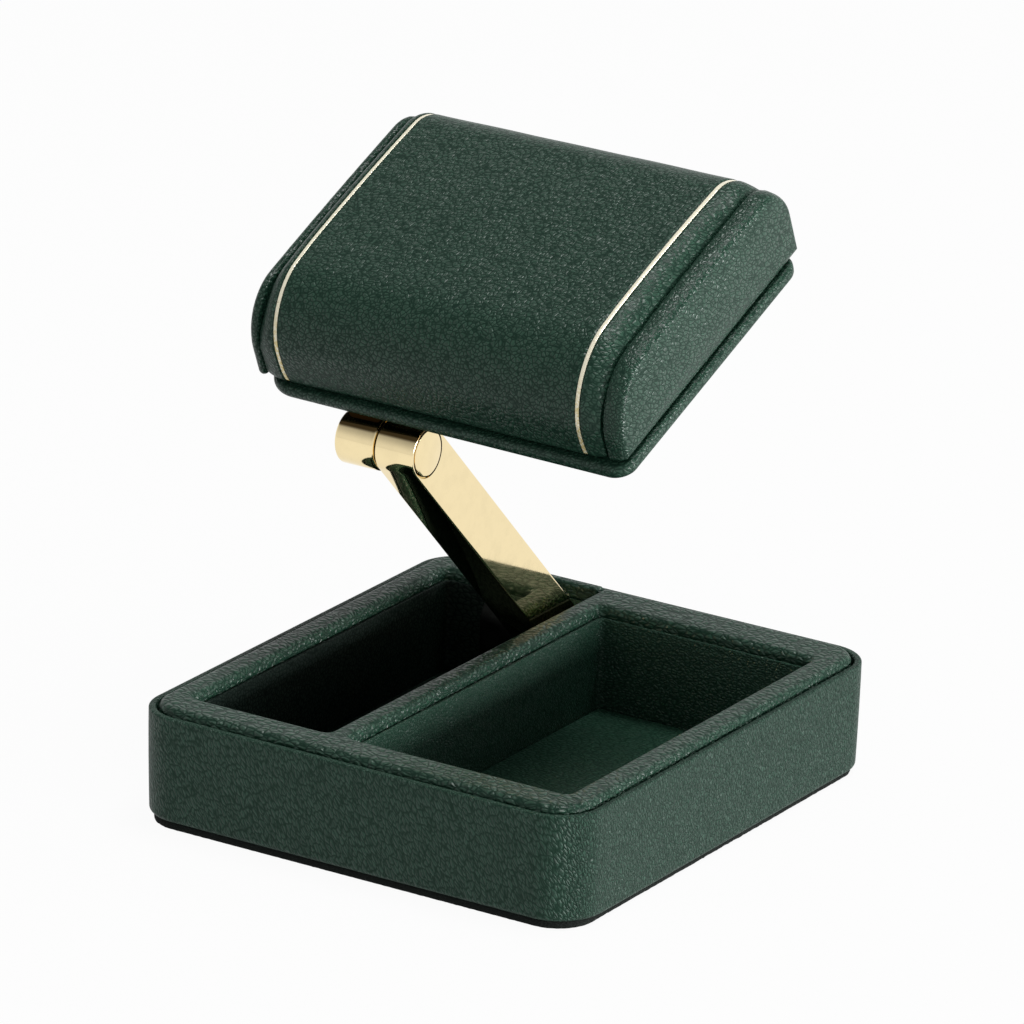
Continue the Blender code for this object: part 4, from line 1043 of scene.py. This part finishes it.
def make_plate(finish, matrix):
    """Leather wrapped plate with soft edges, a skew right side and a leaning underside."""
    corners = (
        (PLATE_LEFT, PLATE_FRONT, PLATE_LEFT_ROUND),
        (PLATE_RIGHT, PLATE_FRONT - CORNER_FORWARD, PLATE_RIGHT_ROUND),
        (PLATE_RIGHT + PLATE_SKEW, PLATE_BACK, PLATE_BACK_ROUND),
        (PLATE_LEFT, PLATE_BACK, PLATE_BACK_ROUND),
    )
    edge = roll(PLATE_EDGE, PLATE_EDGE, 6)
    profile = [(inset, PLATE_BOTTOM + PLATE_EDGE - rise) for inset, rise in reversed(edge)]
    profile += [(inset, PLATE_TOP - PLATE_EDGE + rise) for inset, rise in edge]
    rings = level_rings(corners, profile, 16, COVER_RUN)
    for ring in rings[:len(edge)]:
        for point in ring:
            along = (point.x - PLATE_LEFT) / (PLATE_RIGHT - PLATE_LEFT)
            point.z += PLATE_LIFT_LEFT - PLATE_FALL * along
    return loft("plate_cover", rings, finish, matrix=matrix, sharp_deg=60.0)


# Stage

def surround(tree, out, factor, first, second):
    """Show the first shader, and by a factor the second, through a new output node."""
    mix = node(tree, "ShaderNodeMixShader", {0: factor, 1: first.outputs[0], 2: second.outputs[0]})
    plug(tree, node(tree, out), {"Surface": mix.outputs[0]})


def make_floor():
    """Pale floor that looks white to the camera but keeps a soft shadow."""
    bpy.ops.mesh.primitive_plane_add(size=FLOOR_SIZE)
    floor = bpy.context.object
    floor.name = "floor"
    made = bpy.data.materials.new("floor_white")
    made.use_nodes = True
    tree = made.node_tree
    tree.nodes.clear()
    diffuse = node(tree, "ShaderNodeBsdfDiffuse", {"Color": FLOOR_GREY})
    glow = node(tree, "ShaderNodeEmission", {"Color": WHITE, "Strength": 1.0})
    path = node(tree, "ShaderNodeLightPath")
    seen = math_node(tree, "MULTIPLY", path.outputs["Is Camera Ray"], FLOOR_SEEN)
    mirrored = math_node(tree, "MULTIPLY", path.outputs["Is Glossy Ray"], FLOOR_MIRRORED)
    factor = math_node(tree, "MAXIMUM", seen, mirrored)
    surround(tree, "ShaderNodeOutputMaterial", factor, diffuse, glow)
    floor.data.materials.append(made)


def make_world():
    """Pale surroundings: white to the camera, and near the horizon to polished metal."""
    world = bpy.data.worlds.new("studio")
    bpy.context.scene.world = world
    world.use_nodes = True
    tree = world.node_tree
    tree.nodes.clear()
    path = node(tree, "ShaderNodeLightPath")
    soft = node(tree, "ShaderNodeBackground", {"Color": WHITE, "Strength": WORLD_STRENGTH})
    white = node(tree, "ShaderNodeBackground", {"Color": WHITE, "Strength": 1.0})
    direction = node(tree, "ShaderNodeTexCoord").outputs["Generated"]
    height = node(tree, "ShaderNodeSeparateXYZ", {0: direction}).outputs["Z"]
    horizon = smooth_range(tree, height, *HORIZON)
    mirrored = math_node(tree, "MULTIPLY", path.outputs["Is Glossy Ray"], horizon)
    factor = math_node(tree, "MAXIMUM", path.outputs["Is Camera Ray"], mirrored)
    surround(tree, "ShaderNodeOutputWorld", factor, soft, white)


def add_light(name, at, size, energy):
    """A soft light of a width and height, aimed at the tray."""
    data = bpy.data.lights.new(name, "AREA")
    data.shape = "RECTANGLE"
    data.size, data.size_y = size
    data.energy = energy
    lamp = bpy.data.objects.new(name, data)
    bpy.context.scene.collection.objects.link(lamp)
    lamp.location = at
    lamp.rotation_mode = "QUATERNION"
    lamp.rotation_quaternion = (LIGHT_AIM - Vector(at)).to_track_quat("-Z", "Y")


def make_camera():
    """Camera at the photograph's place: angles, distance and aim come from the tray's edges."""
    azimuth = math.radians(31.938)
    elevation = math.radians(21.407)
    lean = math.radians(1.674)
    distance = 2.04567
    focal_px = 9647.7
    offset_px = (-6.8, 280.572)
    level = math.cos(elevation)
    back = Vector((math.sin(azimuth) * level, -math.cos(azimuth) * level, math.sin(elevation)))
    right = Vector((math.cos(azimuth), math.sin(azimuth), 0.0))
    up = back.cross(right)
    right_leaned = right * math.cos(lean) + up * math.sin(lean)
    up_leaned = up * math.cos(lean) - right * math.sin(lean)
    aside = right_leaned * offset_px[0] / focal_px
    ahead = (-back - aside + up_leaned * offset_px[1] / focal_px).normalized()
    side = ahead.cross(up_leaned).normalized()
    above = side.cross(ahead)
    data = bpy.data.cameras.new("camera")
    data.sensor_width = 36.0
    data.lens = data.sensor_width * focal_px / 1024.0
    data.clip_start = 0.1
    data.clip_end = 100.0
    camera = bpy.data.objects.new("camera", data)
    bpy.context.scene.collection.objects.link(camera)
    turn = Matrix((side, above, -ahead)).transposed().to_4x4()
    camera.matrix_world = Matrix.Translation(back * distance) @ turn
    bpy.context.scene.camera = camera


def place(piece, body, slot, *nodes):
    """Ride a piece on its body and hide the CAD nodes that it stands for; the slot, its finish, is not
    used.
    """
    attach(piece, body)
    if nodes:
        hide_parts(*nodes)
    return piece


for old in list(bpy.data.objects):
    bpy.data.objects.remove(old, do_unlink=True)
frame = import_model()

GREEN = (0.0135, 0.0425, 0.0265)
GREEN_DARK = (0.0065, 0.024, 0.0155)
hide = leather("leather_pad", GREEN, GREEN_DARK, cell=1.0, turn=(0.0, 0.6, 0.8))
hide_end = leather("leather_end", GREEN, GREEN_DARK, cell=0.95, stretch=(1.7, 0.85, 0.85),
                   turn=(0.0, 0.7, 1.57), roughness=0.3, shine=0.4)
hide_frame = leather("leather_frame", GREEN, GREEN_DARK, cell=1.0, stretch=(2.0, 1.35, 0.9),
                     turn=(0.0, 0.0, -0.15), depth=0.52)
hide_wall = leather("leather_wall", (0.0145, 0.045, 0.029), (0.0095, 0.031, 0.0195), cell=0.75,
                    stretch=(0.9, 0.9, 2.6), turn=(0.1, -0.5, 0.0), depth=0.36, roughness=0.44,
                    shine=0.3, side_crease_shade=(0.005, 0.018, 0.0115))
lining = leather("leather_lining", (0.014, 0.044, 0.028), (0.009, 0.03, 0.019), cell=0.75,
                 depth=0.38, roughness=0.38, shine=0.32)
# Lighter copy of the lining for the right compartment's floor: painted light
lit_floor_lining = leather("leather_floor_painted_light", (0.019, 0.06, 0.038), (0.011, 0.036, 0.023), cell=1.0,
                       depth=0.4, roughness=0.42, shine=0.3)
# Near-black copy of the lining: painted shade for the left compartment under the arm and cushion, and
# for the hinge block
shaded_lining = leather("leather_lining_painted_shade", (0.003, 0.009, 0.006), (0.001, 0.004, 0.003),
                      depth=0.15, roughness=0.55, shine=0.15)
GOLD = (0.95, 0.79, 0.47)
# Dark brown painted shade on the gold near the cushion's plate, and how far above a hinge's axis it
# starts, in millimetres
PLATE_SHADE_BROWN = (0.1, 0.065, 0.025)
PLATE_SHADE_FROM = 5.0
gold_metal = metal("polished_gold", GOLD)
lean = math.radians(CUSHION_TILT_DEG) - math.radians(90.0 - ARM_LEAN_DEG)
square_to_plate = (0.0, -math.sin(lean), math.cos(lean))
arm_gold = metal("polished_gold_arm", GOLD, under=PLATE_SHADE_BROWN, along=square_to_plate,
                 level=ARM_LENGTH / MM * square_to_plate[2] + PLATE_SHADE_FROM)
knuckle_gold = metal("polished_gold_knuckle", GOLD, under=PLATE_SHADE_BROWN, along=(0.0, 0.0, 1.0),
                     level=PLATE_SHADE_FROM)
gilt = foil("gilt_foil", (1.0, 0.94, 0.74), (0.3, 0.26, 0.13), (0.8, 0.66, 0.3))
felt = fuzz("black_felt", (0.004, 0.006, 0.005), (0.02, 0.024, 0.022))
board = fuzz("raw_board", (0.3, 0.2, 0.12), (0.42, 0.3, 0.19), size=0.8)
black = plastic("washer_black", (0.012, 0.012, 0.012))
dark_steel = metal("blackened_steel", (0.012, 0.013, 0.012), roughness=0.4)

lower = hinge_matrix(0, 90.0 - ARM_LEAN_DEG)
upper = lower @ Matrix.Translation((0.0, 0.0, ARM_LENGTH))
tilt = hinge_matrix(1, CUSHION_TILT_DEG)

place(make_foot(felt), "tray", "black_felt", "felt_foot")
place(make_wall(hide_wall), "tray", "green_leather", "outer_wall")
frame_cover = place(make_frame(hide_frame), "tray", "green_leather", "top_frame")
place(make_notch_facing(hide_frame), "tray", "green_leather", "notch_facing")
# The left compartment's lining and floor take the painted-shade lining
right_liner, left_liner = make_liners(shaded_lining, lining)
place(right_liner, "tray", "green_lining", "right_liner")
place(left_liner, "tray", "green_lining", "left_liner")
left_floor, right_floor = make_floors(shaded_lining, lit_floor_lining)
place(left_floor, "tray", "green_lining", "left_floor_pad")
place(right_floor, "tray", "green_lining", "right_floor_pad")

place(make_arm(arm_gold, lower), "arm", "pale_gold_metal", "arm")
place(make_pin("upper_pin", gold_metal, upper), "arm", "pale_gold_metal", "upper_hinge_pin")
place(make_pin("lower_pin", gold_metal, lower), "tray", "pale_gold_metal", "base_hinge_pin")
place(make_washer("upper_washer", black, upper), "cushion", "black_washer", "upper_hinge_washer")
place(make_washer("lower_washer", black, lower), "tray", "black_washer", "base_hinge_washer")
upright, bracket_plate = make_lower_bracket(dark_steel)
place(upright, "tray", "dark_steel", "base_hinge_bracket")
place(bracket_plate, "tray", "dark_steel")
knuckle, leaf = make_knuckle(knuckle_gold, tilt)
place(knuckle, "cushion", "pale_gold_metal", "cushion_bracket")
place(leaf, "cushion", "pale_gold_metal")

pad = place(make_pad(hide, tilt), "cushion", "green_leather", "main_pad")
left_panel = make_panel("left_panel_cover", hide_end, tilt, **LEFT_PANEL)
place(left_panel, "cushion", "green_leather", "left_end_panel")
right_panel = make_panel("right_panel_cover", hide_end, tilt, **RIGHT_PANEL)
place(right_panel, "cushion", "green_leather", "right_end_panel")
place(make_gold("gold_strip_left", GOLD_LEFT, gilt, tilt), "cushion", "gilt_line", "gold_line_left")
place(make_gold("gold_strip_right", GOLD_RIGHT, gilt, tilt), "cushion", "gilt_line", "gold_line_right")
place(make_plate(hide, tilt), "cushion", "green_leather", "cushion_plate")

finishes = {
    "pale_gold_metal": gold_metal, "dark_steel": dark_steel, "board": board, "black_washer": black,
    "green_leather": hide, "green_lining": lining, "black_felt": felt, "gilt_line": gilt,
}
slots = {entry["node"]: entry["material_slot"] for entry in frame["record"]["subparts"]}
for name, solid in frame["nodes"].items():
    for socket in solid.material_slots:
        # The hinge block takes the painted-shade lining in place of its board finish
        socket.material = shaded_lining if name == "hinge_block" else finishes[slots[name]]

make_floor()
make_world()
add_light("key", (1.7, 0.25, 0.18), (1.6, 0.3), 37.0)
add_light("top", (0.3, 0.25, 1.9), (0.8, 0.8), 24.0)
make_camera()
bpy.context.scene.view_settings.view_transform = "Standard"
